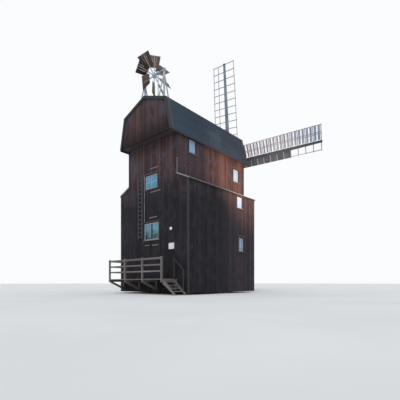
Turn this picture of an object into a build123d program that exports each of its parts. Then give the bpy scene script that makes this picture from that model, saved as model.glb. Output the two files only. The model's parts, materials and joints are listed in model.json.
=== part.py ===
"""A timber windmill whose whole boarded house turns on a roller ring at ground level.

Millimetres. +Z is up, +Y is the head (sails), -Y is the tail (landing, door, fantail) and +X
is the right side seen from the tail. The origin is on the ground at the centre of the ring.
"""

from build123d import *
import math
import os

# Ring on the ground and the rollers that run on it
RING_INSET = 450
RING_SIDES = 24
RING_WALL_W = 460
RING_WALL_TOP = 240
RAIL_W = 110
RAIL_H = 50
ROLLER_R = 140
ROLLER_W = 120
ROLLER_COUNT = 12
ROLLER_SIDES = 20
ROLLER_GAP = 0.5
AXLE_W = 50
CHEEK_T = 30
CHEEK_L = 220
CHEEK_DROP = 70
CHEEK_SIDE_GAP = 3
CURB_W = 420
CURB_H = 140
CURB_CLEAR = 20
PIER_W = 700
PIVOT_R = 60
PIVOT_GAP = 0.5
PIVOT_BLOCK_W = 380
PIVOT_BLOCK_DROP = 90
PIVOT_TOP_GAP = 30

# House: lower body, upper body
LOWER_W = 6900
UPPER_W = 4950
HOUSE_D = 7500
WALL_T = 100
SKIRT_BOTTOM = 110
SILL_H = 240
SILL_W = 260
JOIST_W = 180
JOIST_COUNT = 3
FLOOR_T = 50
MIDDLE_FLOOR_Z = 5400
UPPER_FLOOR_Z = 8250
DRIP_Z = 7230
WEATHER_TOP_Z = 7680
WEATHER_T = 60
WEATHER_LAP = 90
DRIP_OUT = 90

# Gambrel roof
EAVE_Z = 10300
BREAK_Z = 12380
RIDGE_Z = 13200
EAVE_HALF = 2640
BREAK_HALF = 2180
ROOF_T = 80
TAIL_OVERHANG = 600
HEAD_OVERHANG = 260
GABLE_T = 80
SOFFIT_T = 50
VERGE_OUT = 50
CAP_WING = 210
CAP_T = 18

# Windows: glass pane with a frame set in each hole
FRAME_W = 55
FRAME_T = 70
GLASS_T = 12

# Tail door, hung on pintles at its left side
DOOR_IN = 2050
DOOR_W = 900
DOOR_TOP = 2870
DOOR_LEAF_T = 45
DOOR_GAP = 10
STOP_W = 50
STOP_T = 40
PIN_R = 8
PIN_OUT = 26
KNUCKLE_R = 18
KNUCKLE_SIDES = 12
KNUCKLE_H = 70
PIN_GAP = 0.5
STRAP_T = 12
STRAP_L = 640
STRAP_HEIGHTS = (350, 1500)
PINTLE_L = 110
PINTLE_H = 34
PINTLE_T = 8

# Landing and stair at the tail
LANDING_STEP = 20
LANDING_DEPTH = 1350
LANDING_LEFT_IN = 400
LANDING_RIGHT_IN = 950
DECK_T = 45
BEARER_W = 100
BEARER_H = 150
BRACKET_FOOT_Z = 260
RAIL_POST = 100
RAIL_POST_TOP = 2330
RAIL_HEIGHTS = (1470, 1860, 2240)
RAIL_BAR_H = 90
RAIL_BAR_T = 35
POST_BAYS = 3
STAIR_RISERS = 5
STAIR_GOING = 215
STAIR_W = 950
STAIR_WALL_GAP = 300
STRINGER_T = 45
STRINGER_DEPTH = 240
STAIR_CLEAR = 60
TREAD_T = 40
HANDRAIL_RISE = 1240
HANDRAIL_SHARE = 0.8
HANDRAIL_H = 80
HANDRAIL_T = 45

# Small things on the tail wall
LAMP_ASIDE = 130
LAMP_R = 115
LAMP_BACK_R = 90
LAMP_FRONT_R = 85
LAMP_SIDES = 20
LAMP_BACK_T = 40
LAMP_RIM_T = 45
LAMP_FRONT_T = 40
LAMP_Z = 4230
SIGN_W = 500
SIGN_H = 400
SIGN_T = 30
SIGN_Z = 3120
LADDER_X = -1030
LADDER_W = 400
LADDER_BOTTOM = 3800
LADDER_TOP = 8200
LADDER_STANDOFF = 110
STILE_W = 35
STILE_T = 60
RUNG_W = 28
RUNG_PITCH = 300

# Wind shaft and sails
HUB_Z = 11150
HUB_OUT = 1300
SHAFT_TILT = 7
SAIL_ROLL = 2
SHAFT_R = 230
SHAFT_LENGTH = 5600
SHAFT_HOLE_GAP = 40
HEAD_BEARING_IN = 350
TAIL_BEARING_Y = -200
BEARING_RISE = 160
BEARING_GAP = 0.6
BEARING_W = 320
BEARING_T = 260
SHAFT_BEAM = 300
POLL_R = 360
POLL_L = 900
STOCK_W = 300
STOCK_D = 240
STOCK_TIP_W = 150
STOCK_TIP_D = 110
STOCK_SPACE = 20
SAIL_R = 8400
SAIL_START = 1300
SAIL_TIP_MARGIN = 60
SAIL_BAYS = 12
WEATHER_HEEL = 18
WEATHER_TIP = 3
BAR_W = 50
BAR_T = 40
BAR_Y = -50
LATH_T = 28
MIDDLE_LATH = 0.55
LEAD_W_OPEN = 950
DRIVE_W_OPEN = 1150
LEAD_W_SHUTTER = 620
DRIVE_W_SHUTTER = 1200
LEAD_LATTICE_BAYS = 4
SHUTTERS_PER_BAY = 2
SHUTTER_W = 250
SHUTTER_T = 14
SHUTTER_OPEN = 30
SHUTTER_SIDE_GAP = 50
SHUTTER_PIN_GAP = 0.5
LEAD_BOARD_T = 22
LEAD_BOARD_SIDE_GAP = 20

# Fantail
FAN_HUB_Z = 15000
FAN_HUB_IN = 250
FAN_R = 1400
FAN_ROOT_R = 530
FAN_BLADES = 8
FAN_TIP_W = 900
FAN_ROOT_W = 600
FAN_BLADE_T = 20
FAN_PITCH = 35
FAN_POST_X = 1000
FAN_POST = 90
FAN_BRACE = 63
FAN_FOOT_SPREAD = 620
FAN_AXLE_R = 30
FAN_AXLE_GAP = 0.6
FAN_AXLE_END = 30
FAN_BOSS_R = 150
FAN_BOSS_L = 200
FAN_SPOKE = 60
FAN_BEARING = 150
DRIVE_R = 32
DRIVE_X = 400
DRIVE_CASE = 200
DRIVE_SIDES = 8

# Length by which a cutting piece passes the faces it cuts
CUT_PAST = 300

# Worked out from the sizes above
HALF_LOWER = LOWER_W / 2
HALF_UPPER = UPPER_W / 2
RING_R = HALF_LOWER - RING_INSET
DOOR_X = HALF_LOWER - DOOR_IN
LANDING_LEFT = LANDING_LEFT_IN - HALF_LOWER
LANDING_RIGHT = HALF_LOWER - LANDING_RIGHT_IN
TAIL_Y = -HOUSE_D / 2
HEAD_Y = HOUSE_D / 2
RAIL_TOP = RING_WALL_TOP + RAIL_H
ROLLER_Z = RAIL_TOP + ROLLER_GAP + ROLLER_R
CURB_BOTTOM = ROLLER_Z + ROLLER_R + CURB_CLEAR
SILL_BOTTOM = CURB_BOTTOM + CURB_H
FLOOR_BOTTOM = SILL_BOTTOM + SILL_H
ENTRY_FLOOR_Z = FLOOR_BOTTOM + FLOOR_T
LANDING_Z = ENTRY_FLOOR_Z - LANDING_STEP
BEARING_Y = (HEAD_Y - HEAD_BEARING_IN, TAIL_BEARING_Y)
FAN_HUB_Y = TAIL_Y + FAN_HUB_IN
LOWER_SLOPE = math.atan2(BREAK_Z - EAVE_Z, EAVE_HALF - BREAK_HALF)
UPPER_SLOPE = math.atan2(RIDGE_Z - BREAK_Z, BREAK_HALF)
ROOF_START = TAIL_Y - TAIL_OVERHANG - VERGE_OUT
ROOF_END = HEAD_Y + HEAD_OVERHANG
EAVE_INNER = EAVE_HALF - ROOF_T / math.sin(LOWER_SLOPE)

# Windows as (centre along the wall, bottom, width, height)
TAIL_WINDOWS = [(0, 3670, 1500, 1150), (0, 7170, 1240, 930)]
SIDE_LOWER_WINDOWS = [(1950, 3090, 570, 960), (1750, 6250, 630, 800)]
SIDE_UPPER_WINDOWS = [(2650, 8590, 640, 930), (-2350, 9340, 620, 860)]
HEAD_WINDOWS = [(0, 3670, 900, 1150)]

# Sails of each stock as (drive side width, leading side width, whether it has shutters and a board)
SAIL_KINDS = [(DRIVE_W_OPEN, LEAD_W_OPEN, False), (DRIVE_W_SHUTTER, LEAD_W_SHUTTER, True)]


def block(x0, x1, y0, y1, z0, z1):
    """A box between two corners."""
    return Pos((x0 + x1) / 2, (y0 + y1) / 2, (z0 + z1) / 2) * Box(x1 - x0, y1 - y0, z1 - z0)


def prism_y(points, y0, y1):
    """An outline in X and Z, drawn through from y0 to y1."""
    plane = Plane(origin=(0, y0, 0), x_dir=(-1, 0, 0), z_dir=(0, 1, 0))
    outline = Polyline(*[(-x, z) for x, z in points], close=True)
    return extrude(plane * make_face(outline), amount=y1 - y0)


def prism_x(points, x0, x1):
    """An outline in Y and Z, drawn through from x0 to x1."""
    plane = Plane(origin=(x0, 0, 0), x_dir=(0, 1, 0), z_dir=(1, 0, 0))
    outline = Polyline(*points, close=True)
    return extrude(plane * make_face(outline), amount=x1 - x0)


def joined(pieces):
    """Several solids that overlap or touch, made one."""
    result = pieces[0]
    for piece in pieces[1:]:
        result = result + piece
    return result


def end_holes(windows, y_face):
    """Window holes through a wall that faces along Y."""
    return [
        block(x - w / 2, x + w / 2, y_face - CUT_PAST, y_face + CUT_PAST, z, z + h)
        for x, z, w, h in windows
    ]


def side_holes(windows, x_face):
    """Window holes through a wall that faces along X."""
    return [
        block(x_face - CUT_PAST, x_face + CUT_PAST, y - w / 2, y + w / 2, z, z + h)
        for y, z, w, h in windows
    ]


def window_frame(w, h):
    """A frame of four bars about its own centre, facing along Y."""
    outer = Box(w, FRAME_T, h)
    return outer - Box(w - 2 * FRAME_W, FRAME_T + 2, h - 2 * FRAME_W)


def window_places():
    """Where each window sits: its turned location and its width and height."""
    places = []
    middle = WALL_T / 2
    for x, z, w, h in TAIL_WINDOWS:
        places.append((Pos(x, TAIL_Y + middle, z + h / 2), w, h))
    for x, z, w, h in HEAD_WINDOWS:
        places.append((Pos(x, HEAD_Y - middle, z + h / 2), w, h))
    for side in (1, -1):
        for y, z, w, h in SIDE_LOWER_WINDOWS:
            spot = Pos(side * (HALF_LOWER - middle), y, z + h / 2)
            places.append((spot * Rot(Z=90), w, h))
        for y, z, w, h in SIDE_UPPER_WINDOWS:
            spot = Pos(side * (HALF_UPPER - middle), y, z + h / 2)
            places.append((spot * Rot(Z=90), w, h))
    return places


# Ground ring and rollers


def ring(radius, width, z0, z1):
    """A ring of straight lengths about the turning axis."""
    turn = 360 / RING_SIDES
    lean = math.tan(math.radians(turn / 2))
    near, far = radius - width / 2, radius + width / 2
    outline = Polyline(
        (near, -near * lean),
        (far, -far * lean),
        (far, far * lean),
        (near, near * lean),
        close=True,
    )
    length = extrude(Plane.XY.offset(z0) * make_face(outline), amount=z1 - z0)
    return [Rot(Z=i * turn) * length for i in range(RING_SIDES)]


def foundation():
    """The masonry ring and the pier at its centre."""
    pier = block(-PIER_W / 2, PIER_W / 2, -PIER_W / 2, PIER_W / 2, 0, RING_WALL_TOP)
    return ring(RING_R, RING_WALL_W, 0, RING_WALL_TOP) + [pier]


def pivot_pin():
    """The iron pin on the pier that keeps the house centred."""
    half = 2 * PIVOT_R
    foot = block(-half, half, -half, half, RING_WALL_TOP, RAIL_TOP)
    length = FLOOR_BOTTOM - PIVOT_TOP_GAP - RING_WALL_TOP
    return foot + Pos(0, 0, RING_WALL_TOP + length / 2) * Cylinder(PIVOT_R, length)


def roller_spots():
    """One turned location for each roller, its axle pointing at the centre."""
    step = 360 / ROLLER_COUNT
    return [Rot(Z=(i + 0.5) * step) * Pos(RING_R, 0, ROLLER_Z) for i in range(ROLLER_COUNT)]


def prism_along_x(radius, sides, length):
    """A many-sided bar along X about its own centre, with flats at top and bottom."""
    outline = RegularPolygon(radius, sides, major_radius=False, rotation=180 / sides)
    return extrude(Plane.YZ * outline, amount=length / 2, both=True)


def roller():
    """A roller on its square axle, the axle along X."""
    wheel = prism_along_x(ROLLER_R, ROLLER_SIDES, ROLLER_W)
    return wheel + Box(ROLLER_W + 2 * (CHEEK_SIDE_GAP + CHEEK_T), AXLE_W, AXLE_W)


def roller_cheeks():
    """The two plates under the curb that hold one axle."""
    plates = []
    top = CURB_BOTTOM - ROLLER_Z
    for side in (-1, 1):
        x = side * (ROLLER_W / 2 + CHEEK_SIDE_GAP + CHEEK_T / 2)
        plate = block(x - CHEEK_T / 2, x + CHEEK_T / 2, -CHEEK_L / 2, CHEEK_L / 2, -CHEEK_DROP, top)
        plates.append(plate - Box(4 * ROLLER_W, AXLE_W, AXLE_W))
    return plates


def roller_curb():
    """The timber curb under the sills, with the cheeks of every roller."""
    cheeks = [spot * cheek for spot in roller_spots() for cheek in roller_cheeks()]
    return ring(RING_R, CURB_W, CURB_BOTTOM, SILL_BOTTOM) + cheeks


# House frame and floors


def sill_frame():
    """Side sills, end sills and joists that carry the house on the curb."""
    x_in = HALF_LOWER - WALL_T
    y_in = HEAD_Y - WALL_T
    z0, z1 = SILL_BOTTOM, FLOOR_BOTTOM
    pieces = []
    for side in (-1, 1):
        a, b = sorted((side * x_in, side * (x_in - SILL_W)))
        pieces.append(block(a, b, -y_in, y_in, z0, z1))
        a, b = sorted((side * y_in, side * (y_in - SILL_W)))
        pieces.append(block(-x_in, x_in, a, b, z0, z1))
    step = 2 * x_in / (JOIST_COUNT + 1)
    for i in range(JOIST_COUNT):
        x = -x_in + (i + 1) * step
        pieces.append(block(x - JOIST_W / 2, x + JOIST_W / 2, -y_in, y_in, z0, z1))
    half = PIVOT_BLOCK_W / 2
    pieces.append(block(-half, half, -half, half, z0 - PIVOT_BLOCK_DROP, z1))
    return joined(pieces) - Pos(0, 0, z0) * Cylinder(PIVOT_R + PIVOT_GAP, 4 * SILL_H)


def floor_slab(half_width, top):
    """A boarded floor between the end walls."""
    y_in = HEAD_Y - WALL_T
    return block(-half_width, half_width, -y_in, y_in, top - FLOOR_T, top)


# Walls


def lower_end_outline():
    """The end wall under the drip line."""
    return [
        (-HALF_LOWER, SKIRT_BOTTOM),
        (HALF_LOWER, SKIRT_BOTTOM),
        (HALF_LOWER, DRIP_Z),
        (-HALF_LOWER, DRIP_Z),
    ]


def upper_end_outline():
    """The end wall from the drip line to the eaves, shouldered under the weathering."""
    return [
        (-HALF_LOWER, DRIP_Z),
        (HALF_LOWER, DRIP_Z),
        (HALF_UPPER, WEATHER_TOP_Z),
        (HALF_UPPER, EAVE_Z),
        (-HALF_UPPER, EAVE_Z),
        (-HALF_UPPER, WEATHER_TOP_Z),
    ]


def tail_walls():
    """The tail wall, split beside and over the doorway."""
    lower = prism_y(lower_end_outline(), TAIL_Y, TAIL_Y + WALL_T)
    for hole in end_holes(TAIL_WINDOWS, TAIL_Y):
        lower = lower - hole
    far = LOWER_W
    left = lower & block(-far, DOOR_X, TAIL_Y - 1, TAIL_Y + WALL_T + 1, 0, DRIP_Z)
    right = lower & block(DOOR_X + DOOR_W, far, TAIL_Y - 1, TAIL_Y + WALL_T + 1, 0, DRIP_Z)
    middle = (DOOR_X, DOOR_X + DOOR_W, TAIL_Y - 1, TAIL_Y + WALL_T + 1)
    over = lower & block(*middle, DOOR_TOP, DRIP_Z)
    under = lower & block(*middle, 0, ENTRY_FLOOR_Z)
    upper = prism_y(upper_end_outline(), TAIL_Y, TAIL_Y + WALL_T)
    for hole in end_holes(TAIL_WINDOWS, TAIL_Y):
        upper = upper - hole
    return left, right, over, under, upper


def head_wall():
    """The head wall from the skirt to the eaves."""
    lower = lower_end_outline()
    outline = lower[:2] + upper_end_outline()[1:] + lower[3:]
    wall = prism_y(outline, HEAD_Y - WALL_T, HEAD_Y)
    for hole in end_holes(HEAD_WINDOWS, HEAD_Y):
        wall = wall - hole
    return wall


def side_wall_lower(side):
    """One long wall of the lower body, its top cut to the slope of the weathering."""
    x_out, x_in = HALF_LOWER, HALF_LOWER - WALL_T
    slope = (WEATHER_TOP_Z - DRIP_Z) / (HALF_LOWER - HALF_UPPER)
    points = [
        (x_in, SKIRT_BOTTOM),
        (x_out, SKIRT_BOTTOM),
        (x_out, DRIP_Z),
        (x_in, DRIP_Z + slope * WALL_T),
    ]
    wall = prism_y([(side * x, z) for x, z in points], TAIL_Y + WALL_T, HEAD_Y - WALL_T)
    for hole in side_holes(SIDE_LOWER_WINDOWS, side * HALF_LOWER):
        wall = wall - hole
    return wall


def side_wall_upper(side):
    """One long wall of the upper body, its top cut to the inside of the roof."""
    x_out, x_in = HALF_UPPER, HALF_UPPER - WALL_T
    rise = math.tan(LOWER_SLOPE)
    points = [
        (x_in, WEATHER_TOP_Z - WEATHER_LAP),
        (x_out, WEATHER_TOP_Z - WEATHER_LAP),
        (x_out, EAVE_Z + (EAVE_INNER - x_out) * rise),
        (x_in, EAVE_Z + (EAVE_INNER - x_in) * rise),
    ]
    wall = prism_y([(side * x, z) for x, z in points], TAIL_Y + WALL_T, HEAD_Y - WALL_T)
    for hole in side_holes(SIDE_UPPER_WINDOWS, side * HALF_UPPER):
        wall = wall - hole
    return wall


def weathering(side):
    """The short sloping roof over the widened lower body, with its drip edge."""
    run = HALF_LOWER - HALF_UPPER
    slope = (WEATHER_TOP_Z - DRIP_Z) / run
    low_x = HALF_LOWER + DRIP_OUT
    low_z = DRIP_Z - slope * DRIP_OUT
    points = [
        (HALF_UPPER, WEATHER_TOP_Z),
        (low_x, low_z),
        (low_x, low_z + WEATHER_T),
        (HALF_UPPER, WEATHER_TOP_Z + WEATHER_T),
    ]
    return prism_y([(side * x, z) for x, z in points], TAIL_Y, HEAD_Y)


# Roof


def roof_corners():
    """Outer and inner corners of the right half of the roof: eave, break and ridge."""
    lower_cos = math.sin(LOWER_SLOPE)
    inner_eave = (EAVE_HALF - ROOF_T / lower_cos, EAVE_Z)
    half_turn = (LOWER_SLOPE - UPPER_SLOPE) / 2
    reach = ROOF_T / math.cos(half_turn)
    aim = (LOWER_SLOPE + UPPER_SLOPE) / 2
    inner_break = (BREAK_HALF - reach * math.sin(aim), BREAK_Z - reach * math.cos(aim))
    inner_ridge = (0, RIDGE_Z - ROOF_T / math.cos(UPPER_SLOPE))
    outer = [(EAVE_HALF, EAVE_Z), (BREAK_HALF, BREAK_Z), (0, RIDGE_Z)]
    return outer, [inner_eave, inner_break, inner_ridge]


def roof_slab(side, part):
    """One slope of the roof: part 0 is the steep lower slope, part 1 the upper one."""
    outer, inner = roof_corners()
    points = [outer[part], outer[part + 1], inner[part + 1], inner[part]]
    return prism_y([(side * x, z) for x, z in points], ROOF_START, ROOF_END)


def ridge_cap():
    """A folded sheet over the ridge."""
    lift = CAP_T / math.cos(UPPER_SLOPE)
    drop = CAP_WING * math.sin(UPPER_SLOPE)
    run = CAP_WING * math.cos(UPPER_SLOPE)
    points = [
        (0, RIDGE_Z),
        (run, RIDGE_Z - drop),
        (run, RIDGE_Z - drop + lift),
        (0, RIDGE_Z + lift),
        (-run, RIDGE_Z - drop + lift),
        (-run, RIDGE_Z - drop),
    ]
    return prism_y(points, ROOF_START, ROOF_END)


def gable_outline():
    """The inside of the roof, closed at eave height."""
    inner = roof_corners()[1]
    right = [inner[0], inner[1], inner[2]]
    left = [(-x, z) for x, z in (inner[1], inner[0])]
    return right + left


def tail_gable():
    """The gable that stands out past the tail wall."""
    front = TAIL_Y - TAIL_OVERHANG
    return prism_y(gable_outline(), front, front + GABLE_T)


def tail_soffit():
    """Boards that close the underside of the overhanging gable."""
    front = TAIL_Y - TAIL_OVERHANG
    lean = SOFFIT_T / math.tan(LOWER_SLOPE)
    points = [
        (-EAVE_INNER, EAVE_Z),
        (EAVE_INNER, EAVE_Z),
        (EAVE_INNER - lean, EAVE_Z + SOFFIT_T),
        (lean - EAVE_INNER, EAVE_Z + SOFFIT_T),
    ]
    return prism_y(points, front + GABLE_T, TAIL_Y + WALL_T)


def shaft_place(along):
    """A location on the wind shaft's axis, with its Y along the axis."""
    return Pos(0, HEAD_Y + HUB_OUT, HUB_Z) * Rot(X=SHAFT_TILT) * Pos(0, along, 0)


def along_y(radius, length):
    """A cylinder along Y about its own centre."""
    return Rot(X=90) * Cylinder(radius, length)


def head_gable():
    """The gable behind the sails, with the hole that the wind shaft turns in."""
    gable = prism_y(gable_outline(), HEAD_Y - WALL_T, HEAD_Y)
    return gable - shaft_place(0) * along_y(SHAFT_R + SHAFT_HOLE_GAP, 4 * HUB_OUT)


# Wind shaft and its bearings


def wind_shaft():
    """The shaft from its tail end to the poll end, with the mortises for the stocks."""
    body = shaft_place(-SHAFT_LENGTH / 2) * along_y(SHAFT_R, SHAFT_LENGTH)
    poll = shaft_place(0) * Box(2 * POLL_R, POLL_L, 2 * POLL_R)
    shaft = body + poll
    for pair in (0, 1):
        shaft = shaft - sail_place(pair) * stock_timber()
    return shaft


def shaft_axis_at(y):
    """Height of the shaft's axis over a place along the mill."""
    return HUB_Z - (HEAD_Y + HUB_OUT - y) * math.tan(math.radians(SHAFT_TILT))


def bearing_place(y):
    """Distance along the shaft's axis of a bearing that stands at y."""
    return -(HEAD_Y + HUB_OUT - y) / math.cos(math.radians(SHAFT_TILT))


def bearing_beam(y):
    """The beam across the house under one shaft bearing."""
    top = shaft_axis_at(y) - SHAFT_R - BEARING_RISE
    x_in = HALF_UPPER - WALL_T
    return block(-x_in, x_in, y - SHAFT_BEAM / 2, y + SHAFT_BEAM / 2, top - SHAFT_BEAM, top)


def shaft_bearing(y):
    """A block with a round seat under the shaft."""
    seat = SHAFT_R + BEARING_GAP
    top = shaft_axis_at(y)
    low = top - SHAFT_R - BEARING_RISE
    body = block(-BEARING_W, BEARING_W, y - BEARING_T / 2, y + BEARING_T / 2, low, top)
    return body - shaft_place(bearing_place(y)) * along_y(seat, 3 * BEARING_T)


# Sails


def stock_half(level):
    """Half of a stock's width at a distance from the shaft."""
    return (STOCK_W + (STOCK_TIP_W - STOCK_W) * level / SAIL_R) / 2


def stock_timber():
    """A timber for two opposite sails, tapered both ways, its back straight."""
    root, tip = stock_half(0), stock_half(SAIL_R)
    back, front = -STOCK_D / 2, STOCK_D / 2
    face = [(root, 0), (tip, SAIL_R), (-tip, SAIL_R), (-root, 0), (-tip, -SAIL_R), (tip, -SAIL_R)]
    tip_front = back + STOCK_TIP_D
    edge = [(back, -SAIL_R), (tip_front, -SAIL_R), (front, 0), (tip_front, SAIL_R), (back, SAIL_R)]
    return prism_y(face, back, front) & prism_x(edge, -root, root)


def sail_place(index):
    """A location in a stock's middle, with Z along one of its two sails."""
    offset = (STOCK_D + STOCK_SPACE) / 2 * (-1) ** index
    return shaft_place(0) * Rot(Y=SAIL_ROLL + 90 * index) * Pos(0, offset, 0)


def bar_levels():
    """Distances from the shaft of the sail's cross bars."""
    pitch = (SAIL_R - SAIL_TIP_MARGIN - SAIL_START) / SAIL_BAYS
    return [SAIL_START + i * pitch for i in range(SAIL_BAYS + 1)]


def weather_place(level):
    """A location in the sail's twisted surface: turned most at the heel, least at the tip."""
    share = (level - SAIL_START) / (SAIL_R - SAIL_START)
    turn = WEATHER_HEEL + share * (WEATHER_TIP - WEATHER_HEEL)
    return Pos(0, BAR_Y, level) * Rot(Z=turn)


def cross_bars(kind):
    """Bars that pass through the stock, each turned to the sail's weather."""
    drive, lead, shuttered = kind
    bars = []
    for i, level in enumerate(bar_levels()):
        short = shuttered and i < SAIL_BAYS - LEAD_LATTICE_BAYS
        right = lead - BAR_W if short else lead
        bar = block(-drive, right, -BAR_T / 2, BAR_T / 2, -BAR_W / 2, BAR_W / 2)
        bars.append(weather_place(level) * bar)
    return bars


def lath(x, bay):
    """A lath from bar to bar at a distance x from the stock's middle."""
    low, high = (weather_place(level) for level in bar_levels()[bay:bay + 2])
    across = (low * Pos(1, 0, 0)).position - low.position
    return strut((low * Pos(x, 0, 0)).position, (high * Pos(x, 0, 0)).position, BAR_W, LATH_T, across)


def drive_laths(drive):
    """Distances from the stock's middle of the drive side's outer and middle lath."""
    return BAR_W - drive, -drive * MIDDLE_LATH


def sail_frame(kind):
    """Cross bars and laths of one sail, pointing up, drive side at -X."""
    drive, lead, shuttered = kind
    pieces = cross_bars(kind)
    lead_start = SAIL_BAYS - LEAD_LATTICE_BAYS if shuttered else 0
    for bay in range(SAIL_BAYS):
        pieces.extend(lath(x, bay) for x in drive_laths(drive))
        if bay >= lead_start:
            pieces.append(lath(lead - BAR_W, bay))
    return joined(pieces)


def stock(pair):
    """A stock with a mortise for every cross bar of its two sails."""
    timber = stock_timber()
    for turn in (0, 180):
        for bar in cross_bars(SAIL_KINDS[pair]):
            timber = timber - Rot(Y=turn) * bar
    return sail_place(pair) * timber


def leading_boards():
    """The solid windboards on the leading side of a shuttered sail, one in each bay."""
    lead = SAIL_KINDS[1][1]
    levels = bar_levels()
    boards = []
    for low, high in zip(levels[:SAIL_BAYS - LEAD_LATTICE_BAYS], levels[1:]):
        half = (high - low - BAR_W) / 2
        outline = [
            (stock_half(low) + LEAD_BOARD_SIDE_GAP, -half),
            (lead, -half),
            (lead, half),
            (stock_half(high) + LEAD_BOARD_SIDE_GAP, half),
        ]
        board = prism_y(outline, -LEAD_BOARD_T / 2, LEAD_BOARD_T / 2)
        boards.append(weather_place((low + high) / 2) * board)
    return boards


def shutters():
    """The open shutters of one sail, hung between the laths of its drive side."""
    levels = bar_levels()
    step = (levels[1] - levels[0] - BAR_W) / SHUTTERS_PER_BAY
    outer, middle = drive_laths(SAIL_KINDS[1][0])
    off_lath = BAR_W / 2 + SHUTTER_PIN_GAP
    blades = []
    for level in levels[:-1]:
        inner_end = -stock_half(level) - SHUTTER_SIDE_GAP
        for i in range(SHUTTERS_PER_BAY):
            place = weather_place(level + BAR_W / 2 + (i + 0.5) * step)
            for x0, x1 in ((outer + off_lath, middle - off_lath), (middle + off_lath, inner_end)):
                blade = Box(x1 - x0, SHUTTER_T, SHUTTER_W)
                blades.append(place * Pos((x0 + x1) / 2, 0, 0) * Rot(X=SHUTTER_OPEN) * blade)
    return blades


# Door


def hinge_eye(z, height):
    """A many-sided eye about the hinge's axis, with its foot at z."""
    eye = Rot(Y=90) * prism_along_x(KNUCKLE_R, KNUCKLE_SIDES, height)
    return Pos(DOOR_X, TAIL_Y - PIN_OUT, z + height / 2) * eye


def door_leaf():
    """The boarded leaf with its two straps and knuckles."""
    x0, x1 = DOOR_X + DOOR_GAP, DOOR_X + DOOR_W - DOOR_GAP
    z0, z1 = ENTRY_FLOOR_Z + DOOR_GAP, DOOR_TOP - DOOR_GAP
    leaf = block(x0, x1, TAIL_Y, TAIL_Y + DOOR_LEAF_T, z0, z1)
    for height in STRAP_HEIGHTS:
        z = ENTRY_FLOOR_Z + height
        strap = block(DOOR_X + PIN_R, DOOR_X + STRAP_L, TAIL_Y - STRAP_T, TAIL_Y, z, z + KNUCKLE_H)
        leaf = leaf + strap + hinge_eye(z, KNUCKLE_H)
    for height in STRAP_HEIGHTS:
        z = ENTRY_FLOOR_Z + height + KNUCKLE_H / 2
        leaf = leaf - Pos(DOOR_X, TAIL_Y - PIN_OUT, z) * Cylinder(PIN_R + PIN_GAP, 2 * KNUCKLE_H)
    return leaf


def door_pintles():
    """Plates on the wall whose pins stand up through the knuckles."""
    pintles = []
    for height in STRAP_HEIGHTS:
        top = ENTRY_FLOOR_Z + height - PIN_GAP
        plate = block(DOOR_X - PINTLE_L, DOOR_X, TAIL_Y - PINTLE_T, TAIL_Y, top - PINTLE_H, top)
        arm = block(DOOR_X - KNUCKLE_R, DOOR_X, TAIL_Y - PIN_OUT, TAIL_Y, top - PINTLE_H, top)
        pin_h = PINTLE_H + KNUCKLE_H
        pin = Pos(DOOR_X, TAIL_Y - PIN_OUT, top - PINTLE_H + pin_h / 2) * Cylinder(PIN_R, pin_h)
        pintles.append(plate + arm + hinge_eye(top - PINTLE_H, PINTLE_H) + pin)
    return pintles


def door_frame():
    """The stop behind the leaf, on both sides and over it."""
    y1 = TAIL_Y + WALL_T
    y0 = y1 - STOP_T
    x0, x1 = DOOR_X, DOOR_X + DOOR_W
    left = block(x0, x0 + STOP_W, y0, y1, ENTRY_FLOOR_Z, DOOR_TOP)
    right = block(x1 - STOP_W, x1, y0, y1, ENTRY_FLOOR_Z, DOOR_TOP)
    over = block(x0, x1, y0, y1, DOOR_TOP - STOP_W, DOOR_TOP)
    return left + right + over


# Landing and stair


def landing_deck():
    """The boarded deck outside the door."""
    edge = TAIL_Y - LANDING_DEPTH
    return block(LANDING_LEFT, LANDING_RIGHT, edge, TAIL_Y, LANDING_Z - DECK_T, LANDING_Z)


def post_spots():
    """Where the posts of the long rail stand, along X."""
    first = LANDING_LEFT + RAIL_POST / 2
    last = LANDING_RIGHT - RAIL_POST / 2
    step = (last - first) / POST_BAYS
    return [first + i * step for i in range(POST_BAYS + 1)]


def landing_brackets():
    """Triangular brackets on the tail wall under the deck."""
    top = LANDING_Z - DECK_T
    out = TAIL_Y - LANDING_DEPTH
    outline = [
        (TAIL_Y, top),
        (out, top),
        (out, top - BEARER_H),
        (TAIL_Y - BEARER_H, BRACKET_FOOT_Z),
        (TAIL_Y, BRACKET_FOOT_Z),
    ]
    inner = [
        (TAIL_Y - BEARER_H, top - BEARER_H),
        (out + 2 * BEARER_H, top - BEARER_H),
        (TAIL_Y - BEARER_H, BRACKET_FOOT_Z + BEARER_H),
    ]
    brackets = []
    for x in post_spots():
        full = prism_x(outline, x - BEARER_W / 2, x + BEARER_W / 2)
        brackets.append(full - prism_x(inner, x - BEARER_W, x + BEARER_W))
    return brackets


def landing_rail_long():
    """Posts and three rails along the landing's outer edge."""
    half = RAIL_POST / 2
    y_mid = TAIL_Y - LANDING_DEPTH + half
    pieces = []
    for x in post_spots():
        pieces.append(block(x - half, x + half, y_mid - half, y_mid + half, LANDING_Z, RAIL_POST_TOP))
    first, last = post_spots()[0], post_spots()[-1]
    for z in RAIL_HEIGHTS:
        low, high = z - RAIL_BAR_H / 2, z + RAIL_BAR_H / 2
        pieces.append(block(first, last, y_mid - RAIL_BAR_T / 2, y_mid + RAIL_BAR_T / 2, low, high))
    return joined(pieces)


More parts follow.
